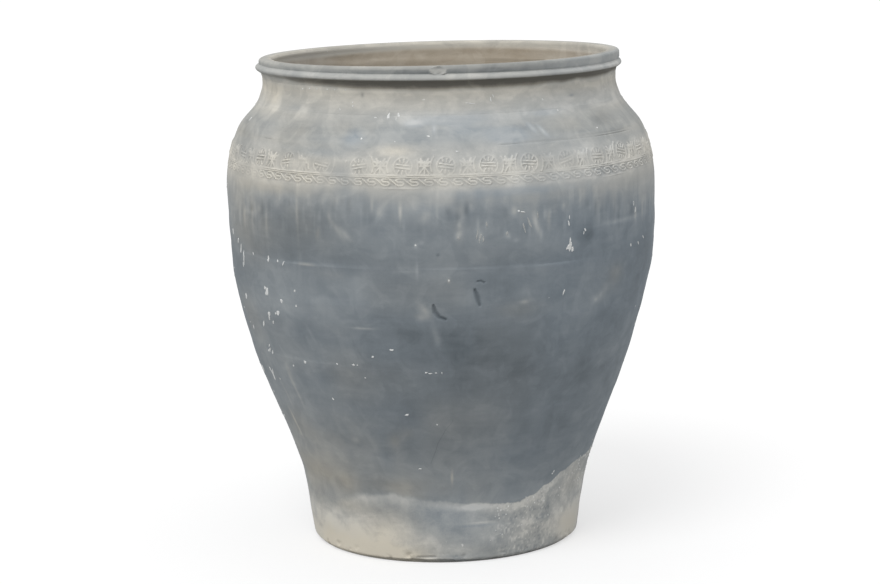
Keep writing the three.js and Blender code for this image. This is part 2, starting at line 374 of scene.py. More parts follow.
# Soft smears: turn, height, half size across and up, lean to the right going up, how much paler and warmer
smears = [
    (-65, 0.5, 0.1, 0.05, 0, 0, 0.25), (-35, 0.5, 0.06, 0.04, 0, 0, 0.18),
    (6, 0.488, 0.03, 0.01, 0, 0.07, 0), (-75, 0.66, 0.024, 0.01, 0, 0.1, 0.1),
    (-36, 0.17, 0.08, 0.055, 0, 0.02, 0.2), (-20, 0.105, 0.07, 0.02, 0, 0, 0.15),
    # the darker spots at turn -76 are painted shade on the left side of the body
    (-60, 0.46, 0.12, 0.03, 0, 0, 0.15), (-76, 0.395, 0.05, 0.05, 0, -0.12, 0),
    (-76, 0.3, 0.05, 0.06, 0, -0.06, 0), (-50, 0.3, 0.06, 0.03, 0, 0.06, 0.08),
    (-48, 0.13, 0.09, 0.025, 0, 0.05, 0.15), (-10, 0.115, 0.06, 0.02, 0, 0.03, 0.14),
    (44, 0.135, 0.08, 0.03, 0, -0.1, 0), (50, 0.19, 0.07, 0.03, 0, -0.05, 0),
    (68, 0.395, 0.06, 0.05, 0, -0.14, 0), (35, 0.58, 0.2, 0.016, 0, 0.02, -0.3),
    (-55, 0.58, 0.12, 0.014, 0, -0.06, 0.12), (20, 0.538, 0.11, 0.007, 0, -0.08, -0.35),
    (-50, 0.536, 0.08, 0.008, 0, 0, 0.25), (50, 0.645, 0.16, 0.02, 0, 0, -0.3),
    (5, 0.635, 0.1, 0.008, 0, 0, -0.25), (-26, 0.618, 0.04, 0.012, 0, 0.04, 0.3),
    (8, 0.618, 0.03, 0.01, 0, -0.02, -0.2), (38, 0.618, 0.05, 0.012, 0, 0, 0.25),
    (-75, 0.605, 0.05, 0.014, 0, 0, 0.2), (-64, 0.576, 0.07, 0.012, 0, -0.09, -0.2),
    (-26, 0.56, 0.035, 0.026, 0, -0.1, 0), (-26, 0.54, 0.035, 0.01, 0, -0.06, 0),
    (12, 0.648, 0.06, 0.012, 0, -0.06, 0), (66, 0.645, 0.06, 0.018, 0, 0.08, 0),
    (20, 0.618, 0.026, 0.008, 0, -0.07, 0.1), (62, 0.616, 0.026, 0.008, 0, -0.08, 0),
    (5, 0.512, 0.026, 0.014, 0, -0.1, 0), (68, 0.517, 0.05, 0.014, 0, 0.07, 0),
    (-66, 0.405, 0.06, 0.03, 0, -0.12, 0.05), (36, 0.35, 0.028, 0.014, 0, -0.07, 0),
    (-62, 0.19, 0.05, 0.026, 0, -0.04, 0.15), (-70, 0.105, 0.05, 0.035, 0, 0.08, 0.25),
    (-42, 0.098, 0.03, 0.018, 0, -0.06, 0.1), (42, 0.552, 0.17, 0.01, 0, 0, -0.4),
    # the thin pale lines at 0.4805 and 0.4368 are painted highlights along course seams
    (55, 0.4805, 0.05, 0.003, 0, 0.15, 0), (-37, 0.4368, 0.014, 0.0014, 0, 0.26, 0.3),
    (-24.4, 0.481, 0.006, 0.009, -0.8, 0.2, 0.08), (-66, 0.652, 0.026, 0.016, 0, 0.12, 0.25),
    (-60, 0.637, 0.013, 0.0045, 0, 0.14, 0.05), (-49.5, 0.6425, 0.012, 0.004, 0, -0.14, -0.1),
    (-44.8, 0.638, 0.005, 0.004, 0, 0.08, 0), (-23.9, 0.663, 0.0022, 0.003, 0, -0.35, 0),
    (45, 0.653, 0.005, 0.0018, 0, -0.28, -0.1), (-7, 0.6265, 0.013, 0.004, 0, 0.16, -0.5),
    (-1.5, 0.62, 0.003, 0.006, 0, 0.18, -0.3), (3, 0.63, 0.03, 0.005, 0, 0.05, -0.6),
    (26.5, 0.6165, 0.004, 0.006, -0.6, 0.28, -0.5), (29.5, 0.612, 0.0035, 0.007, -0.6, 0.26, -0.5),
    (19, 0.61, 0.026, 0.009, 0, 0.02, -0.5), (-11.5, 0.5935, 0.025, 0.007, 0, 0.24, 0.35),
    (-24, 0.61, 0.015, 0.012, 0, -0.04, -0.4), (-45, 0.612, 0.04, 0.014, 0, 0, 0.25),
    (55, 0.621, 0.03, 0.012, 0, -0.15, 0.15), (42, 0.608, 0.014, 0.006, 0, -0.12, 0),
    (-33, 0.588, 0.042, 0.006, 0, -0.12, -0.2), (33, 0.634, 0.02, 0.004, 0, 0.05, -0.4),
    (-26, 0.565, 0.02, 0.014, 0, -0.2, -0.2), (-10, 0.513, 0.0024, 0.012, 0, 0.38, 0.2),
    (-39, 0.49, 0.0022, 0.052, 0, 0.07, 0.1), (-29, 0.507, 0.0026, 0.012, 0, 0.12, 0.1),
    (-17.2, 0.522, 0.0022, 0.009, 0, 0.22, 0.1), (-20, 0.515, 0.003, 0.016, 0, 0.1, 0),
    (-51, 0.495, 0.003, 0.024, 0, 0.14, 0.1), (-58, 0.49, 0.004, 0.026, 0, 0.14, 0.1),
    (-63, 0.5, 0.005, 0.022, 0, 0.16, 0.15), (-27, 0.489, 0.004, 0.018, -0.7, 0.14, 0.08),
    (-32.5, 0.481, 0.003, 0.008, 0.2, 0.1, 0.2), (-6.2, 0.436, 0.002, 0.012, 0, 0.22, 0),
    (-6.3, 0.469, 0.0026, 0.003, 0, 0.3, 0), (-0.9, 0.4565, 0.0022, 0.002, 0, -0.24, 0),
    (1.7, 0.421, 0.002, 0.003, 0, 0.22, 0.3), (-24, 0.419, 0.025, 0.012, 0.3, 0.09, 0),
    (-22, 0.396, 0.006, 0.03, 0, 0.06, 0), (-30, 0.425, 0.026, 0.008, 0, 0.08, 0.1),
    (-4.5, 0.38, 0.006, 0.01, -0.5, 0.25, 0.15), (-5.6, 0.371, 0.008, 0.005, -0.3, 0.2, 0.15),
    (-1.8, 0.345, 0.005, 0.014, -0.2, 0.24, 0.1), (-21.5, 0.353, 0.016, 0.0017, 0, 0.26, 0.1),
    (-25, 0.362, 0.014, 0.003, 0, 0.08, 0), (-38.5, 0.337, 0.003, 0.01, -0.4, 0.14, 0),
    (-8.5, 0.4335, 0.016, 0.0014, 0, 0.14, 0), (-4.8, 0.4735, 0.004, 0.0025, 0, 0.18, 0),
    (-60, 0.497, 0.018, 0.003, 0, 0.1, 0), (21.6, 0.4, 0.008, 0.01, 0, 0.08, 0),
    (26.5, 0.345, 0.006, 0.012, 0.3, 0.1, 0), (21.6, 0.386, 0.007, 0.003, 0, 0.28, 0.15),
    (20, 0.376, 0.03, 0.012, 0, 0.04, 0.2), (45.6, 0.3765, 0.01, 0.007, 0.2, 0.2, 0.1),
    (48.2, 0.387, 0.008, 0.011, 0.3, 0.12, 0.1), (45, 0.3755, 0.0035, 0.003, 0, 0.16, 0),
    (46.8, 0.382, 0.003, 0.004, 0, 0.14, 0), (52, 0.405, 0.016, 0.016, 0, 0.08, 0.3),
    (9, 0.493, 0.005, 0.016, 0, 0.12, 0), (4.5, 0.485, 0.006, 0.014, 0, 0.12, 0.1),
    (4.4, 0.496, 0.003, 0.005, 0, 0.22, 0), (4.2, 0.4825, 0.004, 0.005, 0.3, 0.26, 0),
    (9.1, 0.495, 0.002, 0.008, 0, 0.22, 0), (9.7, 0.48, 0.0035, 0.008, -0.2, 0.26, 0),
    (11.2, 0.4945, 0.002, 0.006, 0, 0.2, 0), (16.7, 0.4795, 0.0035, 0.005, -0.3, 0.24, 0),
    (18.9, 0.472, 0.0045, 0.003, 0, 0.16, 0), (24.3, 0.4915, 0.003, 0.01, -0.2, 0.2, 0),
    (25.7, 0.4775, 0.003, 0.008, 0, 0.18, 0), (24.5, 0.49, 0.006, 0.018, -0.2, 0.14, 0.1),
    (28, 0.496, 0.003, 0.012, 0, 0.14, 0.2), (61.5, 0.486, 0.004, 0.012, 0, 0.26, 0.1),
    (66, 0.486, 0.005, 0.016, 0, 0.16, 0.1), (40, 0.469, 0.02, 0.012, 0, -0.14, -0.2),
    (-52.5, 0.27, 0.006, 0.014, 0, 0.12, 0.1), (-52, 0.242, 0.003, 0.022, -0.2, 0.18, 0.1),
    (-60, 0.24, 0.003, 0.02, -0.3, 0.16, 0.1), (-61.5, 0.19, 0.0028, 0.018, -0.2, 0.28, 0.2),
    (-44, 0.295, 0.03, 0.006, 0, 0.06, 0), (-13, 0.198, 0.014, 0.01, 0.3, 0.07, 0.2),
    (-17, 0.188, 0.008, 0.012, 0, 0.08, 0.2), (-31, 0.183, 0.006, 0.004, 0, 0.2, 0.1),
    (2.4, 0.13, 0.0018, 0.01, 0, 0.24, 0.4), (-52, 0.12, 0.06, 0.022, 0, 0.03, 0.25),
    (-24, 0.118, 0.04, 0.012, 0, -0.03, 0.1), (112, 0.505, 0.004, 0.022, 0, 0.2, 0.2),
    (127, 0.498, 0.006, 0.03, 0, 0.16, 0.2), (150, 0.42, 0.022, 0.014, 0.3, 0.1, 0.1),
    (168, 0.46, 0.003, 0.03, 0, 0.2, 0.1), (-160, 0.5, 0.005, 0.026, 0, 0.18, 0.2),
    (-135, 0.43, 0.03, 0.018, 0, 0.08, 0), (-115, 0.33, 0.006, 0.04, 0.1, 0.14, 0.1),
    (-100, 0.47, 0.005, 0.03, 0, 0.18, 0.1), (95, 0.36, 0.024, 0.02, 0.4, 0.1, 0.2),
    (135, 0.26, 0.005, 0.036, 0, 0.14, 0.1), (-150, 0.22, 0.02, 0.016, 0, 0.1, 0.3),
    (175, 0.62, 0.02, 0.006, 0, 0.16, -0.3),
]
footBase = {"pale": 0.64, "warm": 0.22, "bandHeight": 0.0065}
footPatches = [
    (-50, 0.01, 0.1, 0.04, 0, 0.5, 0.85), (-25, 0.042, 0.045, 0.032, 0, 0.26, 0.4),
    (-18, 0.012, 0.045, 0.012, 0, 0.18, 0.6), (-8, 0.078, 0.03, 0.02, 0, -0.13, -0.1),
    (-58, 0.085, 0.07, 0.018, 0, -0.12, 0.2), (-40, 0.075, 0.03, 0.016, 0, -0.14, 0.1),
    (12, 0.082, 0.05, 0.005, 0, 0.14, -0.1), (34, 0.04, 0.02, 0.03, 0, 0.1, 0.05),
    (4, 0.05, 0.048, 0.04, 0, -0.06, -0.25), (30, 0.078, 0.04, 0.014, 0, 0.14, 0.08),
    (22, 0.01, 0.03, 0.012, 0, -0.04, 0.1), (45, 0.04, 0.04, 0.03, 0, 0.16, 0.12),
    # the paler spot at turn 66 low on the foot is painted light on the base's shaded right edge
    (66, 0.02, 0.04, 0.034, 0, 0.34, 0.35), (75, 0.06, 0.03, 0.04, 0, 0.26, 0.05),
    (62, 0.08, 0.04, 0.04, 0, 0.1, 0.2), (110, 0.05, 0.08, 0.04, 0, 0.1, 0.25),
    (180, 0.03, 0.15, 0.04, 0, 0.12, 0.35), (15, 0.058, 0.024, 0.0012, 0, 0.26, 0.1),
    (14, 0.0545, 0.022, 0.002, 0, -0.12, -0.2), (10, 0.082, 0.016, 0.004, 0, 0.16, 0),
    (-4, 0.03, 0.03, 0.012, 0, 0.05, 0.12), (-10, 0.035, 0.026, 0.014, 0, 0.1, 0.05),
    (27, 0.035, 0.04, 0.014, 0, 0.07, 0), (8, 0.018, 0.04, 0.01, 0, 0.07, 0.15),
    # the paler spot at turn 68 is painted light on the same shaded edge of the base
    (68, 0.016, 0.024, 0.012, 0, 0.12, 0), (-16, 0.072, 0.03, 0.012, 0, -0.08, 0),
    (-18, 0.07, 0.05, 0.03, 0, 0, 0.12), (-66, 0.065, 0.05, 0.016, 0, 0, 0.15),
    (58, 0.038, 0.012, 0.01, 0, 0.1, 0.15), (44, 0.052, 0.016, 0.006, 0.5, -0.16, -0.1),
    (-46, 0.078, 0.05, 0.014, 0, 0, 0.2), (5, 0.045, 0.04, 0.02, 0, 0.02, 0.12),
    (66, 0.065, 0.05, 0.018, 0, 0, -0.2), (-45, 0.016, 0.07, 0.01, 0, 0.06, 0.15),
    (19.7, 0.033, 0.0035, 0.004, 0, 0.2, -0.1), (28.8, 0.029, 0.005, 0.004, 0, 0.22, 0),
    (33.6, 0.037, 0.003, 0.008, 0, 0.14, 0), (48, 0.049, 0.016, 0.008, 0.4, -0.12, 0),
    (23.5, 0.014, 0.009, 0.003, 0, 0.26, 0), (42.5, 0.063, 0.003, 0.01, 0, 0.16, 0),
    (66, 0.024, 0.03, 0.012, 0, 0.1, 0.1), (55.6, 0.053, 0.005, 0.005, 0, 0.16, 0),
]


def chalkDrips():  # thin runs of the film below its edge
    rng = np.random.default_rng(41)
    spots = []
    for degrees in rng.uniform(-180, 180, 260):
        top = roundTurn(np.radians([degrees]), chalkEdge)[0]
        up = 0.005 + 0.016 * rng.uniform() ** 2
        paler = rng.choice((-1, 1, 1)) * (0.03 + 0.10 * rng.uniform() ** 2)
        spots.append((degrees, top - 0.006 - up * 0.5, rng.uniform(0.0016, 0.0060), up, 0, paler, 0.04))
    return spots


drips = chalkDrips()


def addSmears(spots, turn, height, uneven, pale, warm):
    for degrees, at, across, up, lean, paler, warmer in spots:
        x, y = np.radians(turnFrom(turn, degrees)) * outerRadius(at), height - at
        near = (np.abs(x) < 3 * across + abs(lean) * 3 * up) & (np.abs(y) < 3 * up)
        spot = np.exp(-((x[near] - lean * y[near]) / across) ** 2 - (y[near] / up) ** 2)
        spot *= 1 + uneven[near]
        pale[near] += paler * spot
        warm[near] += warmer * spot


def wallPaint(turn, height):  # tones of the skin and of the bare foot, before the fine marks
    cloud = lumps(turn, height, 26, 0.06, 61)
    patch = lumps(turn, height, 70, 0.022, 62)
    run = lumps(turn, height, 150, 0.09, 63)
    degrees = turnFrom(turn, 0)
    left, right = span(-degrees, 5, 60, 100, 160), span(degrees, 8, 35, 90, 140)
    pale = byHeight(height, bodyPale)
    pale += 0.20 * left * span(height, 0.10, 0.16, 0.37, 0.46)
    pale += 0.06 * ease(degrees, 20, 50) * span(height, 0.26, 0.30, 0.36, 0.42)
    pale -= 0.06 * bell(turn, 8, 16) * span(height, 0.24, 0.28, 0.33, 0.37)
    pale -= 0.08 * bell(turn, -42, 14) * span(height, 0.43, 0.46, 0.50, 0.53)
    pale += 0.12 * bell(turn, -72, 12) * ease(height, 0.40, 0.46)
    warm = 0.10 * left * (1 - ease(height, 0.10, 0.20)) + 0.10 * (1 - right)
    warm += 0.08 * right * (1 - ease(height, 0.26, 0.36))
    warm += np.clip(0.06 + 0.16 * cloud, 0, 1) * (1 - ease(height, 0.40, 0.52)) * (1 - right)
    edge = roundTurn(turn, chalkEdge) + 0.008 * run + 0.005 * patch
    chalk = ease(height - edge, -0.018, 0.020)
    pale += (byHeight(height, chalkPale) - pale) * chalk
    warm += (byHeight(height, chalkWarm) - warm) * chalk
    side = ease(np.abs(turnFrom(turn, 5)), 25, 60)
    warm += 0.18 * side * span(height, 0.59, 0.60, 0.63, 0.64)
    pale += 0.045 * cloud + 0.035 * patch
    streak = ease(lumps(turn, height, 430, 0.021, 64), 0.2, 0.8)
    streak -= 0.5 * ease(lumps(turn, height, 300, 0.030, 65), 0.2, 0.8)
    streak *= 0.3 + 0.7 * ease(lumps(turn, height, 50, 0.026, 68), -0.3, 0.4)
    streak *= span(height, 0.462, 0.495, 0.530, 0.545) * roundTurn(turn, streaky)
    pale += 0.13 * streak
    addSmears([*smears, *drips], turn, height, 0.3 * patch, pale, warm)
    foot = footBase["pale"] + 0.05 * cloud + 0.06 * patch
    rubbed = span(degrees, 14, 28, 100, 140) * (1 - 0.6 * ease(degrees, 40, 54))
    foot += 0.10 * rubbed * (lumps(turn, height, 110, 0.012, 66) + lumps(turn, height, 300, 0.0045, 67))
    speck = lumps(turn, height, 480, 0.0028, 70)
    foot += rubbed * (0.26 * ease(speck, 0.45, 0.85) - 0.20 * ease(-speck, 0.45, 0.85))  # grit and pits
    below = roundTurn(turn, footEdge) - height
    foot += roundTurn(turn, footBand) * hump(below, footBase["bandHeight"], footBase["bandHeight"])
    foot += 0.07 * lumps(turn, height, 64, 0.014, 69) * ease(degrees, -30, -10)
    footHue = np.full_like(height, footBase["warm"])
    addSmears(footPatches, turn, height, 0.12 * patch, foot, footHue)
    bevel = roundTurn(turn, baseBevelShade) + 0.0010 * patch + 0.0008 * run
    # painted shade on the base's bevel, browner, and a painted highlight along the arris above it
    bevelShade = 1 - ease(height - bevel, -0.0012, 0.0006)
    foot += 0.10 * (1 - bevelShade) * (1 - ease(height - bevel, 0.0006, 0.0040)) - 0.38 * bevelShade
    footHue += 0.30 * bevelShade
    return pale, warm, foot, footHue


# Rim: a lip over a groove and a pointed bead
rim = {"coveHeight": 0.0066, "coveRound": 0.003, "beadRise": 0.0034, "beadRound": 0.0036,
       "grooveHeight": 0.0056, "grooveDepth": 0.0010, "grooveRound": 0.0012, "lipFoot": 0.0014,
       "lipIn": 0.0022, "lipEdge": 0.0042, "lipWidth": 0.0200, "mouthEdge": 0.0045, "row": 0.0020}
rimSection = nodeSection("rim_roll")
beadRadius = rimSection[0].max()
beadHeight = rimSection[1][rimSection[0].argmax()] + rim["beadRise"]
lipRadius = rimSection[0][rimSection[1] > beadHeight + 0.006].max() - rim["lipIn"]
mouthRadius = lipRadius - rim["lipWidth"]
grooveHeight = beadHeight + rim["grooveHeight"]
# Lump of lime on the lip
plug = {"turn": -0.4, "height": 0.6940, "half": 0.0125, "rise": 0.0068, "radius": 0.2584}
# Painted shadow under the bead and how far down it goes, dirt and painted shade on the lip's face, and dirt
# on its upper edge
beadShadow = {-180: 0.8, -75: 0.15, -60: 0.35, -50: 0.65, -38: 0.9, -20: 1, 30: 1, 48: 1, 62: 1, 80: 0.8,
            120: 0.7}
beadShadowReach = {-180: 0.012, -60: 0.006, -45: 0.0105, -25: 0.015, -15: 0.0155, 15: 0.0155, 30: 0.014,
             50: 0.011, 62: 0.01, 75: 0.009, 120: 0.01}
faceDirtAndShade = {-180: 0.6, -75: 0.2, -52: 0.45, -38: 0.5, -22: 0.8, -8: 1, 5: 1, 18: 1.1, 32: 0.7, 42: 0.3,
            60: 0.15, 78: 0.1, 120: 0.6}
edgeDirt = {-180: 0, -110: 0.05, -75: 0.05, -50: 0.18, -38: 0.18, -22: 0.13, -8: 0.13, 4: 0.25, 12: 0.32,
            20: 0.28, 32: 0.23, 48: 0.18, 62: 0.15, 80: 0.08, 110: 0}


def plugMask(turn, height):
    rise = (height - plug["height"]) / plug["rise"]
    across = np.radians(turnFrom(turn, plug["turn"])) * beadRadius / plug["half"]
    across /= 1 + 0.45 * np.clip(rise, -1, 1)  # wider above
    ragged = 0.40 * lumps(turn, height, 200, 0.005, 71)
    return 1 - ease(np.abs(across) ** 1.2 + np.abs(rise) ** 2 + ragged, 0.65, 1.0)


def rimPaint(turn, height, radius, pale, warm):  # painted shadow under the bead, dirt and painted shade on the lip, painted light inside the mouth
    degrees = turnFrom(turn, 0)
    below = beadHeight - 0.003 - height
    reach = roundTurn(turn, beadShadowReach) * (1 + 0.12 * lumps(turn, height, 60, 0.5, 72))
    # painted shadow under the bead, browner, strongest from the front round to the right
    under = ease(below, -0.0022, 0.0008) * (1 - ease(below / reach, 0.35, 1.05)) * roundTurn(turn, beadShadow)
    # dirt and painted shade on the lip's outer face, under its rounded edge
    face = ease(height - grooveHeight, -0.0010, 0.0020) * (1 - ease(height - crest, -0.0054, -0.0032))
    face *= roundTurn(turn, faceDirtAndShade) * (radius > lipRadius - 0.004) * (1 - plugMask(turn, height))
    face *= 0.9 + 0.35 * lumps(turn, height, 90, 0.01, 73)
    cool = span(degrees, 20, 55, 100, 150)
    cool *= ease(height - beadHeight, -0.004, 0.001) * (radius > lipRadius - 0.006)
    mouth = ease(lipRadius - 0.010 - radius, 0, 0.006) * (height > neckTop)
    # painted light on the mouth's shaded inner wall at the back, and more at the left
    farPaintedLight = mouth * ease(np.abs(degrees), 70, 110) * ease(crest - height, 0.0008, 0.0060)
    leftEnd = bell(turn, -78, 32) * ease(height - beadHeight, -0.006, -0.002)
    rightBead = bell(turn, 70, 16) * ease(below, 0, -0.002) * (height < grooveHeight)
    farLeftPaintedLight = bell(turn, -125, 45) * farPaintedLight
    edge = roundTurn(turn, edgeDirt) * ease(height - crest, -0.005, -0.0028)
    # painted shadow under the bead, dirt and painted shade on the lip's face, dirt on its upper edge
    pale = pale - 0.86 * under - 0.56 * face - edge
    # painted light on the inner wall of the mouth at the back and at the left
    pale = pale - 0.05 * leftEnd + 0.20 * rightBead + 0.04 * mouth + 0.20 * farPaintedLight + 0.18 * farLeftPaintedLight
    return pale, warm + 0.05 * face - 0.20 * cool + 0.75 * under + 0.25 * mouth - 0.30 * farLeftPaintedLight


def shapeClay(co):  # hand-built shape from the true ring: out of round, leaning rim, lumpy skin
    turn = np.arctan2(co[:, 0], -co[:, 1])
    radius = np.hypot(co[:, 0], co[:, 1])
    height = co[:, 2].copy()
    slope = slopeAt(height) * (1 - ease(height, 0.655, 0.668)) * (height >= slabTop)
    depth = np.where(height < neckTop, outerRadius(height) - radius, 0)
    skin = 1 - ease(depth, 0.003, 0.012)
    inner = ease(depth, 0.012, 0.015) * ease(height, 0.03, 0.06) * (1 - ease(height, 0.645, neckTop))
    ridges = np.sin(2 * math.pi * (height / warp["ridgePitch"] + 0.35 * lumps(turn, height, 7, 0.2, 81)))
    ridges *= warp["innerRidge"] * (0.6 + 0.4 * lumps(turn, height, 11, 0.08, 82))
    ridges += warp["innerLump"] * lumps(turn, height, 9, 0.1, 83)
    relief = skin * skinRelief(turn, height) - inner * ridges
    lines, ground = np.zeros_like(height), np.zeros_like(height)
    low, high = band["reach"]
    stamped = (height > low) & (height < high) & (skin > 0.99)
    if stamped.any():
        lines[stamped], ground[stamped] = bandRelief(turn[stamped], height[stamped])
        relief += band["rise"] * lines - band["sink"] * ground
    relief = relief / np.sqrt(1 + slope * slope)
    oval = warp["oval"] * np.cos(2 * (turn - warp["ovalTurn"])) + warp["trefoil"] * np.cos(3 * turn + 1)
    filled = plug["radius"] + 0.0007 * lumps(turn, height, 300, 0.003, 74) - radius
    filled = np.maximum(0, filled) * plugMask(turn, height) * (radius > lipRadius - 0.004)
    worn = span(height, 0, 0.004, 0.010, 0.018) * (radius > 0.15)
    nicks = lumps(turn, height, 90, 0.012, 75) + 0.6 * lumps(turn, height, 230, 0.005, 76)
    nicks = warp["baseNick"] * worn * np.clip(nicks - 0.35, 0, 1)
    newRadius = radius + filled + relief + oval * ease(height, 0.1, crest) - nicks
    lip = warp["lipRise"] + warp["lipLean"][0] * co[:, 0] + warp["lipLean"][1] * co[:, 1]
    newHeight = height - relief * slope + lip * ease(height, grooveHeight, crest - 0.002)
    places = atTurn(turn, newRadius, newHeight)
    places[:, 0] -= warp["footShift"] * (1 - ease(height, 0.03, 0.11))
    places[:, 0] += warp["lipShift"] * ease(height - grooveHeight, -0.002, 0.002)
    return places, turn, height, radius, lines - 0.30 * ground * (1 - lines)


def insideMask(turn, radius, height):
    depth = np.where(height < neckTop, outerRadius(height) - radius, 0)
    lip = 0.005 + 0.007 * bell(turn, -125, 45)  # the lip's paler colour goes furthest down at the left, partly as painted light on the shaded inner wall there
    mouth = (radius < mouthRadius + 0.006) & (height > neckTop - 0.02)
    return np.maximum(ease(depth, 0.006, 0.012), mouth * ease(crest - height, lip, lip + 0.008))


# Cells of the mesh, and the angle in degrees from which an edge is sharp
clayMesh = {"around": 1000, "row": 0.002, "innerRow": 0.007, "sharpAngle": 38}
stampAngle = 45  # keeps the stamps' slopes smooth
finerMesh = {"upper_belly_course": (1300, 0.0018), "stamped_band_course": (1700, 0.00115),
             "shoulder_course": (1100, 0.0013), "neck_collar": (1000, 0.0016)}
fineWindows = {"middle_belly_course": (-4.5, 12, 0.3655, 0.4225)}  # turns and heights round the gouges


def rolledStrip(outline, around):  # a flat strip, rolled into a ring whose section is the outline
    bm = bmesh.new()
    bmesh.ops.create_grid(bm, x_segments=around, y_segments=len(outline) - 1, size=1)
    mesh = meshFrom(bm, "strip")
    co = vertexPlaces(mesh)
    section = np.array(outline)
    row = (co[:, 1] + 1) / 2 * (len(outline) - 1)
    radius, height = (np.interp(row, np.arange(len(outline)), section[:, k]) for k in (0, 1))
    mesh.vertices.foreach_set("co", atTurn(co[:, 0] * math.pi, radius, height).ravel())
    bm = bmesh.new()
    bm.from_mesh(mesh)
    bpy.data.meshes.remove(mesh)
    bmesh.ops.remove_doubles(bm, verts=bm.verts, dist=1e-6)
    bmesh.ops.recalc_face_normals(bm, faces=bm.faces)
    return bm


def refine(bm, window):  # three times finer cells on part of the outer skin
    first, last, low, high = window
    edges = set()
    for face in bm.faces:
        middle = face.calc_center_median()
        degrees = math.degrees(math.atan2(middle.x, -middle.y))
        outside = math.hypot(middle.x, middle.y) > outerRadius(middle.z) - 0.002
        if first < degrees < last and low < middle.z < high and outside:
            edges.update(face.edges)
    bmesh.ops.subdivide_edges(bm, edges=list(edges), cuts=2, use_grid_fill=True)


def paintClay(mesh, turn, height, radius, stamp):  # tones and marks that the finishes read
    pale, warm, foot, footHue = wallPaint(turn, height)
    pale, warm = rimPaint(turn, height, radius, pale, warm)
    above = height - roundTurn(turn, footEdge) - 0.0014 * lumps(turn, height, 120, 0.02, 91)
    above -= 0.0009 * lumps(turn, height, 330, 0.006, 92)
    above /= roundTurn(turn, footBlur)
    inside = insideMask(turn, radius, height)
    warm += (roundTurn(turn, insideWarm) - warm) * inside
    tones = {"wallTone": (pale, warm, inside), "footTone": (foot, footHue, above),
             "marks": (crackOffset(turn, height), stamp, gougeDepth(turn, height)[1])}
    for name, values in tones.items():
        layer = mesh.attributes.new(name, "FLOAT_VECTOR", "POINT")
        layer.data.foreach_set("vector", np.stack(values, -1).ravel())


slots = {"base_slab": "foot_clay", "foot_course": "foot_clay", "floor_fillet_coil": "inner_clay",
         "stamped_band_course": "stamped_clay", "shoulder_course": "shoulder_clay",
         "neck_collar": "shoulder_clay", "rim_roll": "shoulder_clay"}
pieces = {}


def clayPiece(name, node, outline, around):
    bm = rolledStrip(outline, around)
    if node in fineWindows:
        refine(bm, fineWindows[node])
    mesh = meshFrom(bm, name)
    places, turn, height, radius, stamp = shapeClay(vertexPlaces(mesh))
    mesh.vertices.foreach_set("co", places.ravel())
    paintClay(mesh, turn, height, radius, stamp)
    mesh.shade_smooth()
    angle = stampAngle if node == "stamped_band_course" else clayMesh["sharpAngle"]
    mesh.set_sharp_from_angle(angle=math.radians(angle))
    piece = addObject(name, mesh)
    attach(piece, "root")
    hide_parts(node)
    pieces[node] = piece
    print(name, len(mesh.polygons), "faces")


def courseOutline(low, high, row, bottomLap):  # closed section of one course, seam to seam
    rows = max(4, round((high - low) / row))
    outer = [(outerRadius(z), z) for z in np.linspace(low, high, rows + 1)]
    innerLow = low - wall["lap"] if bottomLap else low
    innerRows = max(3, round((high - wall["lap"] - innerLow) / clayMesh["innerRow"]))
    inner = [innerPoint(z) for z in np.linspace(high - wall["lap"], innerLow, innerRows + 1)]
    return [*outer, *inner, outer[0]]


for node, low, high in zip(courses, seams, seams[1:]):
    around, row = finerMesh.get(node, (clayMesh["around"], clayMesh["row"]))
    outline = courseOutline(low[1], high[1], row, node != "foot_course")
    clayPiece(node.replace("_course", "_ring").replace("_collar", "_ring"), node, outline, around)


def softCorners(corners):  # section line through corners of (radius, height, rounding)
    line = []
    for before, corner, after in zip(corners, corners[1:], corners[2:]):
        here, rounding = np.array(corner[:2]), corner[2]
        if rounding == 0:
            line.append(here)
            continue
        back, on = (np.array(q[:2]) - here for q in (before, after))
        back, on = back / np.linalg.norm(back), on / np.linalg.norm(on)
        half = math.acos(np.clip(back @ on, -1, 1)) / 2
        reach = rounding / math.tan(half)
        middle = here + (back + on) / np.linalg.norm(back + on) * rounding / math.sin(half)
        start, stop = here + back * reach - middle, here + on * reach - middle
        bend = math.acos(np.clip(start @ stop / rounding**2, -1, 1))
        steps = max(3, round(bend * rounding / 0.0012))
        for t in np.linspace(0, 1, steps + 1):
            arm = math.sin((1 - t) * bend) * start + math.sin(t * bend) * stop
            line.append(middle + arm / math.sin(bend))
    return line


def filledLine(line, step):  # more points along the long stretches
    full = [np.array(line[0])]
    for a, b in zip(line, line[1:]):
        a, b = np.array(a), np.array(b)
        count = max(1, round(np.linalg.norm(b - a) / step))
        full += [a + (b - a) * t for t in np.arange(1, count + 1) / count]
    return full


def rimOutline():
    lapEnd = innerPoint(neckTop - wall["lap"])
    start = (neckRadius, neckTop, 0)
    corners = [
        (*lapEnd, 0), start,
        (neckRadius + 0.001, neckTop + rim["coveHeight"], rim["coveRound"]),
        (beadRadius + 0.0008, beadHeight, rim["beadRound"]),
        (lipRadius - rim["grooveDepth"], grooveHeight, rim["grooveRound"]),
        (lipRadius, grooveHeight + rim["lipFoot"], rim["grooveRound"]),
        (lipRadius + 0.0002, crest, rim["lipEdge"]),
        (mouthRadius, crest - 0.0006, rim["mouthEdge"]),
        (*innerPoint(neckTop), 0),
        (*lapEnd, 0), start,
    ]
    return filledLine(softCorners(corners) + [start[:2]], rim["row"])


clayPiece("rim_ring", "rim_roll", rimOutline(), clayMesh["around"])

slab = {"bevel": 0.0090, "bevelRise": 0.0058, "bevelRound": 0.0020, "arrisRound": 0.0034, "lean": 0.0020,
        "floor": 0.0056, "row": 0.012, "sideRow": 0.0016, "around": 900}


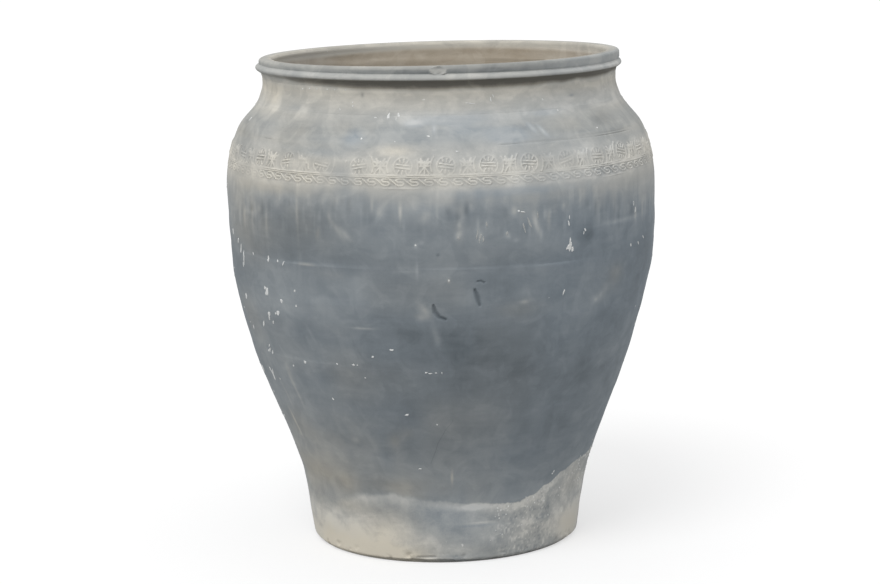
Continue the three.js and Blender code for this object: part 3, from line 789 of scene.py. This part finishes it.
def slabOutline():  # bevelled below, with a raised floor
    floorTop = slabTop + slab["floor"]
    register = slabRadius - wall["foot"] - 0.0004
    side = softCorners([(0, 0, 0), (slabRadius - slab["bevel"], 0, slab["bevelRound"]),
                        (slabRadius - slab["lean"], slab["bevelRise"], slab["arrisRound"]),
                        (slabRadius, slabTop, 0), (register, slabTop, 0)])
    top = [side[-1], (register, slabTop), (register, floorTop), (0, floorTop)]
    under = filledLine([(0, 0), side[0]], slab["row"])
    return under[:-1] + filledLine(side, slab["sideRow"]) + filledLine(top, slab["row"])[1:]


clayPiece("base_disc", "base_slab", slabOutline(), slab["around"])

fillet = {"leg": 0.018, "edge": 0.002, "hollow": 0.014, "lean": 0.1, "gap": 0.0002, "around": 240}


def filletOutline():
    bottom = slabTop + slab["floor"] + fillet["gap"]
    outer = innerPoint(slabTop)[0] - 2 * fillet["gap"]
    top = (outer + fillet["lean"] * fillet["leg"], bottom + fillet["leg"])
    toe = outer - fillet["leg"]
    corners = [(outer, bottom, 0), (*top, 0), (top[0] - fillet["edge"], top[1], 0),
               (outer - 2 * fillet["edge"], bottom + fillet["edge"], fillet["hollow"]),
               (toe, bottom + fillet["edge"], 0), (toe, bottom, 0)]
    line = softCorners([corners[-1], *corners, corners[0]])
    return [*line, line[0]]


clayPiece("floor_coil", "floor_fillet_coil", filletOutline(), fillet["around"])

# Lime flakes stuck on the clay: turn, height, length, width, lean to the right in degrees
lime = {"thick": 0.0005, "sunk": 0.0004, "sides": 9, "topShare": 0.72, "ragged": (0.55, 1.15), "long": 0.62,
        "wide": 0.68, "scuffWide": 1.5, "strewn": 150, "atFoot": 90, "leftGrowth": 1.42, "seed": 12}
flakes = [
    (-54.1, 0.388, 0.01, 0.0042, 20), (-54.6, 0.3935, 0.004, 0.003, 0),
    (-47.7, 0.3797, 0.0042, 0.003, 10), (-50.3, 0.3607, 0.0062, 0.0044, 15),
    (-51.4, 0.359, 0.0026, 0.002, 0), (-54.9, 0.356, 0.0046, 0.0036, 10),
    (-55.4, 0.3505, 0.0075, 0.002, 25), (-54, 0.344, 0.004, 0.0018, 30),
    (-59.8, 0.3385, 0.0085, 0.0026, 25), (-69.4, 0.325, 0.005, 0.002, 20),
    (-68.6, 0.3712, 0.007, 0.0034, 20), (-67.6, 0.44, 0.011, 0.0024, 22), (-69.5, 0.45, 0.007, 0.002, 22),
    (-74.6, 0.459, 0.006, 0.003, 0), (-65.6, 0.429, 0.016, 0.0018, 8), (-66.6, 0.418, 0.006, 0.0018, 10),
    (-59, 0.439, 0.0026, 0.002, 0), (-51.2, 0.4367, 0.006, 0.0028, 5), (-47.3, 0.436, 0.0026, 0.0014, 0),
    (-45, 0.434, 0.006, 0.0012, 30), (-41.9, 0.3974, 0.003, 0.0022, 0), (-42, 0.376, 0.0024, 0.0018, 0),
    (-60.3, 0.3, 0.007, 0.0018, 35), (-58.9, 0.297, 0.006, 0.0018, 30), (-61.4, 0.298, 0.005, 0.0016, 50),
    (-60, 0.306, 0.005, 0.0014, 40), (-65.5, 0.266, 0.008, 0.0018, -20),
    (-64.3, 0.263, 0.008, 0.0016, 25), (-65, 0.256, 0.011, 0.0024, 10), (-43.4, 0.2938, 0.0032, 0.003, 0),
    (-49.1, 0.2845, 0.0024, 0.0018, 0), (-31.4, 0.2977, 0.0024, 0.003, 0), (-26, 0.2984, 0.003, 0.004, 0),
    (-24.8, 0.2984, 0.0018, 0.0022, 0), (-19.7, 0.3123, 0.0032, 0.0038, 0),
    (-14, 0.3236, 0.0028, 0.005, 0), (-4.9, 0.2915, 0.0022, 0.003, 0), (-3.8, 0.29, 0.0016, 0.005, 0),
    (-2.1, 0.2909, 0.0018, 0.003, 0), (-0.5, 0.2908, 0.003, 0.0014, 0), (-23, 0.2805, 0.002, 0.0024, 0),
    (-11.5, 0.2276, 0.0034, 0.0056, -20), (-2.4, 0.2127, 0.0022, 0.0022, 0),
    (-9, 0.1435, 0.0014, 0.005, 0), (-36, 0.243, 0.005, 0.002, -30), (34.5, 0.457, 0.016, 0.0048, 8),
    (33.9, 0.455, 0.008, 0.004, 30), (35.3, 0.452, 0.01, 0.0032, -5), (34.5, 0.465, 0.007, 0.0026, 0),
    (34, 0.488, 0.011, 0.0022, -12), (34.2, 0.496, 0.006, 0.0012, 0), (39.4, 0.476, 0.005, 0.0024, -25),
    (38.9, 0.472, 0.005, 0.0016, 15), (33.1, 0.394, 0.01, 0.0022, 24), (20.8, 0.509, 0.0016, 0.007, 8),
    (19.6, 0.511, 0.003, 0.003, 20), (61.2, 0.49, 0.012, 0.0026, 8), (63, 0.442, 0.006, 0.0018, -40),
    (66.3, 0.448, 0.006, 0.0018, -40), (58.6, 0.4422, 0.006, 0.0018, -5),
    (60.2, 0.499, 0.007, 0.0016, -5), (-31.3, 0.6435, 0.004, 0.0012, -20),
    (-26.9, 0.6481, 0.0022, 0.0018, 0), (-27.2, 0.653, 0.0022, 0.0014, 0),
    (-15, 0.636, 0.0095, 0.0034, 5), (-12, 0.6375, 0.0075, 0.0028, -5), (-12.6, 0.633, 0.005, 0.0012, 0),
    (-19, 0.634, 0.002, 0.003, 0), (9.6, 0.6512, 0.0012, 0.013, 8), (15.8, 0.655, 0.007, 0.0014, -5),
    (16.6, 0.66, 0.005, 0.0012, -25), (33, 0.651, 0.0032, 0.0016, 0), (37.5, 0.635, 0.003, 0.0026, 0),
    (-21.5, 0.608, 0.003, 0.0026, 0), (-11.9, 0.6045, 0.0014, 0.0012, 0), (-3, 0.611, 0.002, 0.005, 10),
    (4.5, 0.592, 0.0018, 0.006, 8), (49, 0.608, 0.0016, 0.003, 0), (45.5, 0.1195, 0.004, 0.0018, 0),
    (45, 0.1165, 0.0026, 0.003, 0), (72, 0.127, 0.005, 0.003, -30), (69, 0.124, 0.004, 0.0024, 0),
    (75, 0.13, 0.004, 0.003, 0), (1.7, 0.4212, 0.0034, 0.002, 0), (-6.4, 0.47, 0.003, 0.0024, 0),
    (-47.5, 0.6675, 0.0016, 0.0014, 0), (-44.3, 0.6684, 0.0014, 0.0018, 0),
    (-41, 0.6686, 0.0018, 0.0012, 0), (-36.7, 0.6688, 0.0016, 0.0026, 0),
    (-33.7, 0.6686, 0.0014, 0.002, 0), (-29.8, 0.6688, 0.0016, 0.0018, 0),
]
# Scuffs that left a thin grey film, in the same terms
scuffs = [
    (8.9, 0.483, 0.013, 0.001, 12), (9.6, 0.478, 0.015, 0.0011, 14), (10.4, 0.476, 0.011, 0.001, 8),
    (4.2, 0.479, 0.005, 0.0014, -35), (16.4, 0.4815, 0.006, 0.0012, 25), (21, 0.488, 0.014, 0.0011, -16),
    (22.5, 0.494, 0.015, 0.0012, -20), (11.2, 0.496, 0.008, 0.001, -8), (24.8, 0.504, 0.01, 0.0009, -10),
]


def strewnFlakes():  # small ones: over the sides and the back, and about the crisp edge of the foot
    rng = np.random.default_rng(lime["seed"])
    found = []
    while len(found) < lime["strewn"]:
        degrees, height = rng.uniform(-180, 180), rng.uniform(0.13, 0.66)
        if abs(degrees) < 70 or 0.54 < height < 0.60:
            continue
        length = 0.0016 + 0.0060 * rng.uniform() ** 4
        found.append((degrees, height, length, length * rng.uniform(0.35, 0.9), rng.normal(8, 18)))
    for degrees in rng.uniform(18, 84, lime["atFoot"]):
        edge = roundTurn(np.radians([degrees]), footEdge)[0]
        height = edge + rng.normal(0, 0.003) - 0.060 * rng.uniform() ** 2
        length = rng.uniform(0.0012, 0.0030)
        found.append((degrees, max(height, 0.024), length, length * rng.uniform(0.5, 0.9), 0))
    return found


def onWall(turn, height, lift):  # places on the finished skin, lifted out of the wall
    radius, slope = outerRadius(height), slopeAt(height)
    places = shapeClay(atTurn(turn, radius, height))[0]
    out = np.stack([np.sin(turn), -np.cos(turn), -slope], -1) / np.sqrt(1 + slope * slope)[:, None]
    return places + out * lift[:, None]


def addLime():
    rng = np.random.default_rng(lime["seed"] + 1)
    bm = bmesh.new()
    whole = [*flakes, *strewnFlakes()]
    for number, (degrees, height, length, width, lean) in enumerate([*whole, *scuffs]):
        made = bmesh.ops.create_cone(bm, cap_ends=True, segments=lime["sides"], radius1=1,
                                     radius2=lime["topShare"], depth=2)
        ragged = rng.uniform(*lime["ragged"], lime["sides"])
        angle = math.radians(lean)
        grown = lime["leftGrowth"] if -80 < degrees < -40 else 1
        wide = lime["wide"] if number < len(whole) else lime["scuffWide"]
        for vert in made["verts"]:
            side = round(math.atan2(vert.co.y, vert.co.x) / (2 * math.pi) * lime["sides"]) % lime["sides"]
            x, y = vert.co.x * ragged[side] * width * wide, vert.co.y * ragged[side] * length * lime["long"]
            x, y = x * math.cos(angle) + y * math.sin(angle), y * math.cos(angle) - x * math.sin(angle)
            around = math.radians(degrees) + grown * x / outerRadius(height)
            vert.co = (around, height + grown * y, vert.co.z)
        if number >= len(whole):
            for face in {face for vert in made["verts"] for face in vert.link_faces}:
                face.material_index = 1
    co = np.array([v.co for v in bm.verts])
    places = onWall(co[:, 0], co[:, 1], np.where(co[:, 2] > 0, lime["thick"], -lime["sunk"]))
    for vert, place in zip(bm.verts, places):
        vert.co = place
    bmesh.ops.recalc_face_normals(bm, faces=bm.faces)
    mesh = meshFrom(bm, "lime_flakes")
    piece = addObject("lime_flakes", mesh)
    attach(piece, "root")
    print("lime_flakes", len(mesh.polygons), "faces")
    return piece


limeFlakes = addLime()


# Shader helpers
def addNode(tree, kind, values=None, **settings):
    made = tree.nodes.new("ShaderNode" + kind)
    for key, value in settings.items():
        setattr(made, key, value)
    for key, value in (values or {}).items():
        if isinstance(value, bpy.types.NodeSocket):
            tree.links.new(value, made.inputs[key])
        else:
            made.inputs[key].default_value = value
    return made


def calc(tree, operation, first, second=0.0, clamp=False):
    return addNode(tree, "Math", {0: first, 1: second}, operation=operation, use_clamp=clamp).outputs[0]


def plus(tree, base, value, share):  # a value's share on top
    return calc(tree, "ADD", base, calc(tree, "MULTIPLY", value, share))


def between(tree, value, start, stop, low=0.0, high=1.0):  # smooth step of a value
    ends = {"Value": value, "From Min": start, "From Max": stop, "To Min": low, "To Max": high}
    return addNode(tree, "MapRange", ends, interpolation_type="SMOOTHSTEP").outputs["Result"]


def mixValue(tree, share, first, second):
    return addNode(tree, "Mix", {0: share, 2: first, 3: second}, data_type="FLOAT").outputs[0]


def mixColor(tree, share, first, second):
    return addNode(tree, "Mix", {0: share, 6: first, 7: second}, data_type="RGBA").outputs[2]


def noise(tree, vector, scale, detail=3.0, roughness=0.55, distortion=0.0):
    values = {"Vector": vector, "Scale": scale, "Detail": detail, "Roughness": roughness}
    return addNode(tree, "TexNoise", {**values, "Distortion": distortion}).outputs["Fac"]


def stretched(tree, vector, scale):
    return addNode(tree, "VectorMath", {0: vector, 1: scale}, operation="MULTIPLY").outputs[0]


def ramp(tree, share, stops):
    made = addNode(tree, "ValToRGB", {"Fac": share})
    elements = made.color_ramp.elements
    while len(elements) < len(stops):
        elements.new(0.5)
    for element, (place, color) in zip(elements, stops.items()):
        element.position = place
        element.color = (*color, 1)
    return made.outputs["Color"]


def newGroup(name, inputs, outputs):
    tree = bpy.data.node_groups.new(name, "ShaderNodeTree")
    for way, sockets in (("INPUT", inputs), ("OUTPUT", outputs)):
        for label, kind in sockets.items():
            tree.interface.new_socket(label, in_out=way, socket_type="NodeSocket" + kind)
    return tree, tree.nodes.new("NodeGroupInput").outputs, tree.nodes.new("NodeGroupOutput").inputs


def useGroup(tree, group, values):
    return addNode(tree, "Group", values, node_tree=group).outputs


# Scale of the fine marks that all the clay shares, such as patches of film and lines from turning
markScale = {"Clouds": 13, "Patches": 21, "Mottle": 40, "Runs": 95, "Turning": 120, "Grain": 480}


def makeClayMarks():
    tree, given, result = newGroup("clayMarks", {"Vector": "Vector", **dict.fromkeys(markScale, "Float")},
                                   {"Shift": "Float", "Height": "Float"})
    place = given["Vector"]
    fields = {
        "Clouds": noise(tree, place, markScale["Clouds"], 4, 0.55, 0.5),
        "Patches": between(tree, noise(tree, place, markScale["Patches"], 3, 0.5, 1.6), 0.47, 0.60),
        "Mottle": noise(tree, stretched(tree, place, (0.6, 0.6, 1.1)), markScale["Mottle"], 5, 0.6, 1.0),
        "Runs": noise(tree, stretched(tree, place, (1, 1, 0.10)), markScale["Runs"], 3, 0.55, 0.4),
        "Turning": noise(tree, stretched(tree, place, (0.10, 0.10, 1)), markScale["Turning"], 4, 0.55, 0.5),
        "Grain": noise(tree, place, markScale["Grain"], 3, 0.65),
    }
    total = 0.0
    for name, field in fields.items():
        part = calc(tree, "MULTIPLY", calc(tree, "SUBTRACT", field, 0.5), given[name])
        total = calc(tree, "ADD", part, total)
    tree.links.new(total, result["Shift"])
    high = 0.0
    for name, share in (("Turning", 0.45), ("Mottle", 0.8), ("Grain", 0.35)):
        high = plus(tree, high, fields[name], share)
    tree.links.new(high, result["Height"])
    return tree


# Colours of the clay from slate to cream, on its cool and its warm side, and of its inside
coolClay = {0.0: (0.106, 0.128, 0.146), 0.25: (0.180, 0.211, 0.238), 0.5: (0.276, 0.307, 0.330),
            0.75: (0.392, 0.413, 0.422), 1.0: (0.556, 0.567, 0.560)}
warmClay = {0.0: (0.118, 0.113, 0.098), 0.25: (0.214, 0.203, 0.174), 0.5: (0.325, 0.305, 0.260),
            0.75: (0.455, 0.427, 0.366), 1.0: (0.640, 0.597, 0.503)}
insideClay = {0.25: (0.300, 0.255, 0.200), 0.5: (0.425, 0.368, 0.292), 0.75: (0.530, 0.480, 0.400)}
insideGrey = {0.25: (0.275, 0.264, 0.246), 0.5: (0.405, 0.389, 0.364), 0.75: (0.540, 0.520, 0.488)}


def makeClayTone():
    tree, given, result = newGroup("clayTone", {"Pale": "Float", "Warm": "Float"}, {"Color": "Color"})
    warm = calc(tree, "ADD", given["Warm"], 0.0, clamp=True)
    cool = ramp(tree, given["Pale"], coolClay)
    tree.links.new(mixColor(tree, warm, cool, ramp(tree, given["Pale"], warmClay)), result["Color"])
    return tree


# Foot that has lost its dark skin: a pale, rubbed ground below a ragged edge
def makeFootWash():
    tones = dict.fromkeys(("Pale", "Warm", "Foot Pale", "Foot Warm", "Above"), "Float")
    tree, given, result = newGroup("footWash", {"Vector": "Vector", **tones},
                                   {"Pale": "Float", "Warm": "Float", "Step": "Float"})
    place = given["Vector"]
    ragged = calc(tree, "SUBTRACT", noise(tree, place, 160, 4, 0.65), 0.5)
    above = plus(tree, given["Above"], ragged, 0.0022)
    skin = between(tree, above, -0.0016, 0.0016)
    rub = calc(tree, "SUBTRACT", noise(tree, place, 52, 6, 0.62, 0.8), 0.5)
    foot = plus(tree, given["Foot Pale"], rub, 0.36)
    upTo, downTo = between(tree, above, -0.009, -0.0012), between(tree, above, 0.0016, -0.0006)
    foot = plus(tree, foot, calc(tree, "MULTIPLY", upTo, downTo), 0.11)  # paler along the edge
    tree.links.new(mixValue(tree, skin, foot, given["Pale"]), result["Pale"])
    tree.links.new(mixValue(tree, skin, given["Foot Warm"], given["Warm"]), result["Warm"])
    tree.links.new(skin, result["Step"])
    return tree


# Lime dust: small pale specks
def makeLimeDust():
    tree, given, result = newGroup("limeDust", {"Vector": "Vector", "Scale": "Float", "Share": "Float"},
                                   {"Mask": "Float"})
    uneven = addNode(tree, "TexNoise", {"Vector": given["Vector"], "Scale": 300.0}).outputs["Color"]
    wobble = stretched(tree, uneven, (0.004, 0.004, 0.004))
    place = addNode(tree, "VectorMath", {0: given["Vector"], 1: wobble}, operation="ADD").outputs[0]
    cells = addNode(tree, "TexVoronoi", {"Vector": place, "Scale": given["Scale"]})
    picked = addNode(tree, "SeparateColor", {"Color": cells.outputs["Color"]})
    shown = calc(tree, "LESS_THAN", picked.outputs["Red"], given["Share"])
    size = calc(tree, "MULTIPLY", picked.outputs["Green"], 0.05)
    edge, core = calc(tree, "ADD", size, 0.05), calc(tree, "ADD", size, 0.02)
    dot = between(tree, cells.outputs["Distance"], edge, core)
    tree.links.new(calc(tree, "MULTIPLY", dot, shown), result["Mask"])
    return tree


clayMarks, clayTone, footWash, limeDust = makeClayMarks(), makeClayTone(), makeFootWash(), makeLimeDust()
clayShine = 0.18  # low, as the clay has no glaze


def startMaterial(name):
    material = bpy.data.materials.new(name)
    material.use_nodes = True
    tree = material.node_tree
    shader = tree.nodes["Principled BSDF"]
    shader.inputs["Specular IOR Level"].default_value = clayShine
    return material, tree, shader, addNode(tree, "TexCoord").outputs["Object"]


def endMaterial(tree, shader, color, dull, high, strength, distance):
    raised = addNode(tree, "Bump", {"Height": high, "Strength": strength, "Distance": distance})
    for label, socket in (("Base Color", color), ("Roughness", dull), ("Normal", raised.outputs["Normal"])):
        tree.links.new(socket, shader.inputs[label])


def readTones(tree, name):
    made = addNode(tree, "Attribute", attribute_name=name)
    return addNode(tree, "SeparateXYZ", {0: made.outputs["Vector"]}).outputs


limeColor = (0.70, 0.70, 0.68, 1)
dustScale = 48.0


def clayFinish(name, amounts, dust, roughness, bump):  # one outer clay with its inside
    material, tree, shader, place = startMaterial(name)
    wallTone, footTone, marks = (readTones(tree, key) for key in ("wallTone", "footTone", "marks"))
    fine = useGroup(tree, clayMarks, {"Vector": place, **dict(zip(markScale, amounts))})
    washed = useGroup(tree, footWash, {"Vector": place, "Pale": wallTone["X"], "Warm": wallTone["Y"],
                                       "Foot Pale": footTone["X"], "Foot Warm": footTone["Y"],
                                       "Above": footTone["Z"]})
    pale = calc(tree, "ADD", washed["Pale"], fine["Shift"])
    pale = plus(tree, pale, marks["Y"], 0.26)  # rubbed stamps
    pale = calc(tree, "SUBTRACT", pale, between(tree, marks["X"], 0.0012, 0.0002, 0.0, 0.10))  # crack
    pale = plus(tree, pale, marks["Z"], -0.26)  # gouges
    color = useGroup(tree, clayTone, {"Pale": pale, "Warm": washed["Warm"]})["Color"]
    specks = useGroup(tree, limeDust, {"Vector": place, "Scale": dustScale, "Share": dust})["Mask"]
    color = mixColor(tree, calc(tree, "MULTIPLY", specks, 0.7), color, limeColor)
    within = plus(tree, 0.64, fine["Shift"], 1.2)
    within = mixColor(tree, wallTone["Y"], ramp(tree, within, insideGrey), ramp(tree, within, insideClay))
    color = mixColor(tree, wallTone["Z"], color, within)
    smooth, rough = roughness
    dull = calc(tree, "ADD", calc(tree, "MULTIPLY", pale, rough - smooth), smooth, clamp=True)
    high = plus(tree, fine["Height"], washed["Step"], 0.8)
    high = plus(tree, high, specks, 0.6)
    endMaterial(tree, shader, color, dull, high, bump, 0.0007)
    return material


def innerClay():  # brown clay of the inside
    material, tree, shader, place = startMaterial("innerClay")
    amounts = dict(zip(markScale, (0.5, 0.1, 0.4, 0.1, 0.2, 0.2)))
    fine = useGroup(tree, clayMarks, {"Vector": place, **amounts})
    color = ramp(tree, calc(tree, "ADD", fine["Shift"], 0.45), insideClay)
    endMaterial(tree, shader, color, plus(tree, 0.85, fine["Shift"], 0.3), fine["Height"], 0.5, 0.001)
    return material


def limeFinish(name, shades):
    material, tree, shader, place = startMaterial(name)
    chalky = noise(tree, place, 420, 4, 0.65)
    dull = between(tree, chalky, 0.3, 0.7, 0.78, 0.94)
    endMaterial(tree, shader, ramp(tree, chalky, shades), dull, chalky, 0.4, 0.0004)
    return material


# Outer clays: strength of each mark in markScale, share of dust, roughness from slate to cream, bump
outerClays = {
    "bodyClay": ((0.26, 0.05, 0.22, 0.08, 0.08, 0.07), 0.03, (0.66, 0.86), 0.16),  # smooth and blue-grey
    "shoulderClay": ((0.30, 0.08, 0.36, 0.06, 0.18, 0.10), 0.14, (0.74, 0.92), 0.22),  # chalky and dusty
    "stampedClay": ((0.26, 0.08, 0.40, 0.05, 0.06, 0.16), 0.06, (0.74, 0.92), 0.24),  # ground of the stamps
    "footClay": ((0.24, 0.06, 0.30, 0.04, 0.10, 0.18), 0.15, (0.72, 0.90), 0.26),  # rubbed pale foot
}
finishes = {name.replace("Clay", "_clay"): clayFinish(name, *look) for name, look in outerClays.items()}
finishes["inner_clay"] = innerClay()
for node, piece in pieces.items():
    piece.data.materials.append(finishes[slots.get(node, "body_clay")])
limeWhite = {0.3: (0.44, 0.45, 0.445), 0.5: (0.68, 0.69, 0.68), 0.7: (0.84, 0.85, 0.84)}
scuffGrey = {0.35: (0.26, 0.28, 0.285), 0.5: (0.36, 0.37, 0.365), 0.65: (0.46, 0.465, 0.45)}
limeFlakes.data.materials.append(limeFinish("limeWhite", limeWhite))
limeFlakes.data.materials.append(limeFinish("scuffGrey", scuffGrey))
print("finishes on", len(pieces) + 1, "pieces")

# Camera where the photograph was taken from
view = {"place": (-0.0005, -3.410, 0.952), "focalPixels": 2378.2, "imageWidth": 880, "pitch": 9.966,
        "roll": -1.018, "yaw": -0.046}


def addCamera():
    pitch, roll, yaw = (math.radians(view[key]) for key in ("pitch", "roll", "yaw"))
    ahead = Vector((math.sin(yaw) * math.cos(pitch), math.cos(yaw) * math.cos(pitch), -math.sin(pitch)))
    level = Vector((math.cos(yaw), -math.sin(yaw), 0))
    upright = level.cross(ahead)
    right = math.cos(roll) * level + math.sin(roll) * upright
    up = -math.sin(roll) * level + math.cos(roll) * upright
    data = bpy.data.cameras.new("photoCamera")
    data.lens = data.sensor_width * view["focalPixels"] / view["imageWidth"]
    camera = addObject("photoCamera", data)
    camera.matrix_world = Matrix((right, up, -ahead)).transposed().to_4x4()
    camera.location = view["place"]
    scene.camera = camera


studio = {"floorSize": 40, "floorColor": (0.9, 0.9, 0.9, 1), "bounceColor": (0.5, 0.5, 0.5, 1),
          "floorGlow": 0.55, "zenith": 1.1, "horizon": 0.55,
          "sun": {"turn": -28, "rise": 53, "strength": 1.3, "softness": 30}}


def plainRays(tree):  # 1 for the rays that see the plain white background
    rays = addNode(tree, "LightPath").outputs
    mirrored = calc(tree, "MAXIMUM", rays["Is Glossy Ray"], rays["Is Transmission Ray"])
    return calc(tree, "MAXIMUM", rays["Is Camera Ray"], mirrored)


def addFloor():  # white with a soft shadow to those rays, mid grey in the light it throws back
    bm = bmesh.new()
    bmesh.ops.create_grid(bm, x_segments=1, y_segments=1, size=studio["floorSize"] / 2)
    mesh = meshFrom(bm, "studioFloor")
    floor = addObject("studioFloor", mesh)
    paint = bpy.data.materials.new("floorPaint")
    paint.use_nodes = True
    tree = paint.node_tree
    tree.nodes.remove(tree.nodes["Principled BSDF"])
    bounce = addNode(tree, "BsdfDiffuse", {"Color": studio["bounceColor"]})
    seen = addNode(tree, "BsdfDiffuse", {"Color": studio["floorColor"]})
    glow = addNode(tree, "Emission")
    lit = addNode(tree, "MixShader", {0: studio["floorGlow"], 1: seen.outputs[0], 2: glow.outputs[0]})
    byRay = addNode(tree, "MixShader", {0: plainRays(tree), 1: bounce.outputs[0], 2: lit.outputs[0]})
    tree.links.new(byRay.outputs[0], tree.nodes["Material Output"].inputs["Surface"])
    mesh.materials.append(paint)


def addSun():
    lamp = studio["sun"]
    turn, rise = math.radians(lamp["turn"]), math.radians(lamp["rise"])
    data = bpy.data.lights.new("softSun", "SUN")
    data.energy = lamp["strength"]
    data.angle = math.radians(lamp["softness"])
    light = addObject("softSun", data)
    towards = Vector((math.sin(turn) * math.cos(rise), -math.cos(turn) * math.cos(rise), math.sin(rise)))
    light.rotation_euler = (-towards).to_track_quat("-Z", "Y").to_euler()
    light.location = towards * 4


def addSky():  # soft and brightest overhead, and plain white to those rays
    world = bpy.data.worlds.new("studioSky")
    world.use_nodes = True
    scene.world = world
    tree = world.node_tree
    split = addNode(tree, "SeparateXYZ", {0: addNode(tree, "TexCoord").outputs["Generated"]})
    level = addNode(tree, "MapRange", {"Value": split.outputs["Z"], "To Min": studio["horizon"],
                                       "To Max": studio["zenith"]})
    sky = tree.nodes["Background"]
    sky.inputs["Color"].default_value = (1, 1, 1, 1)
    tree.links.new(level.outputs["Result"], sky.inputs["Strength"])
    white = addNode(tree, "Background", {"Color": (1, 1, 1, 1)})
    mixed = addNode(tree, "MixShader", {0: plainRays(tree), 1: sky.outputs[0], 2: white.outputs[0]})
    tree.links.new(mixed.outputs[0], tree.nodes["World Output"].inputs["Surface"])


addCamera()
addFloor()
addSun()
addSky()
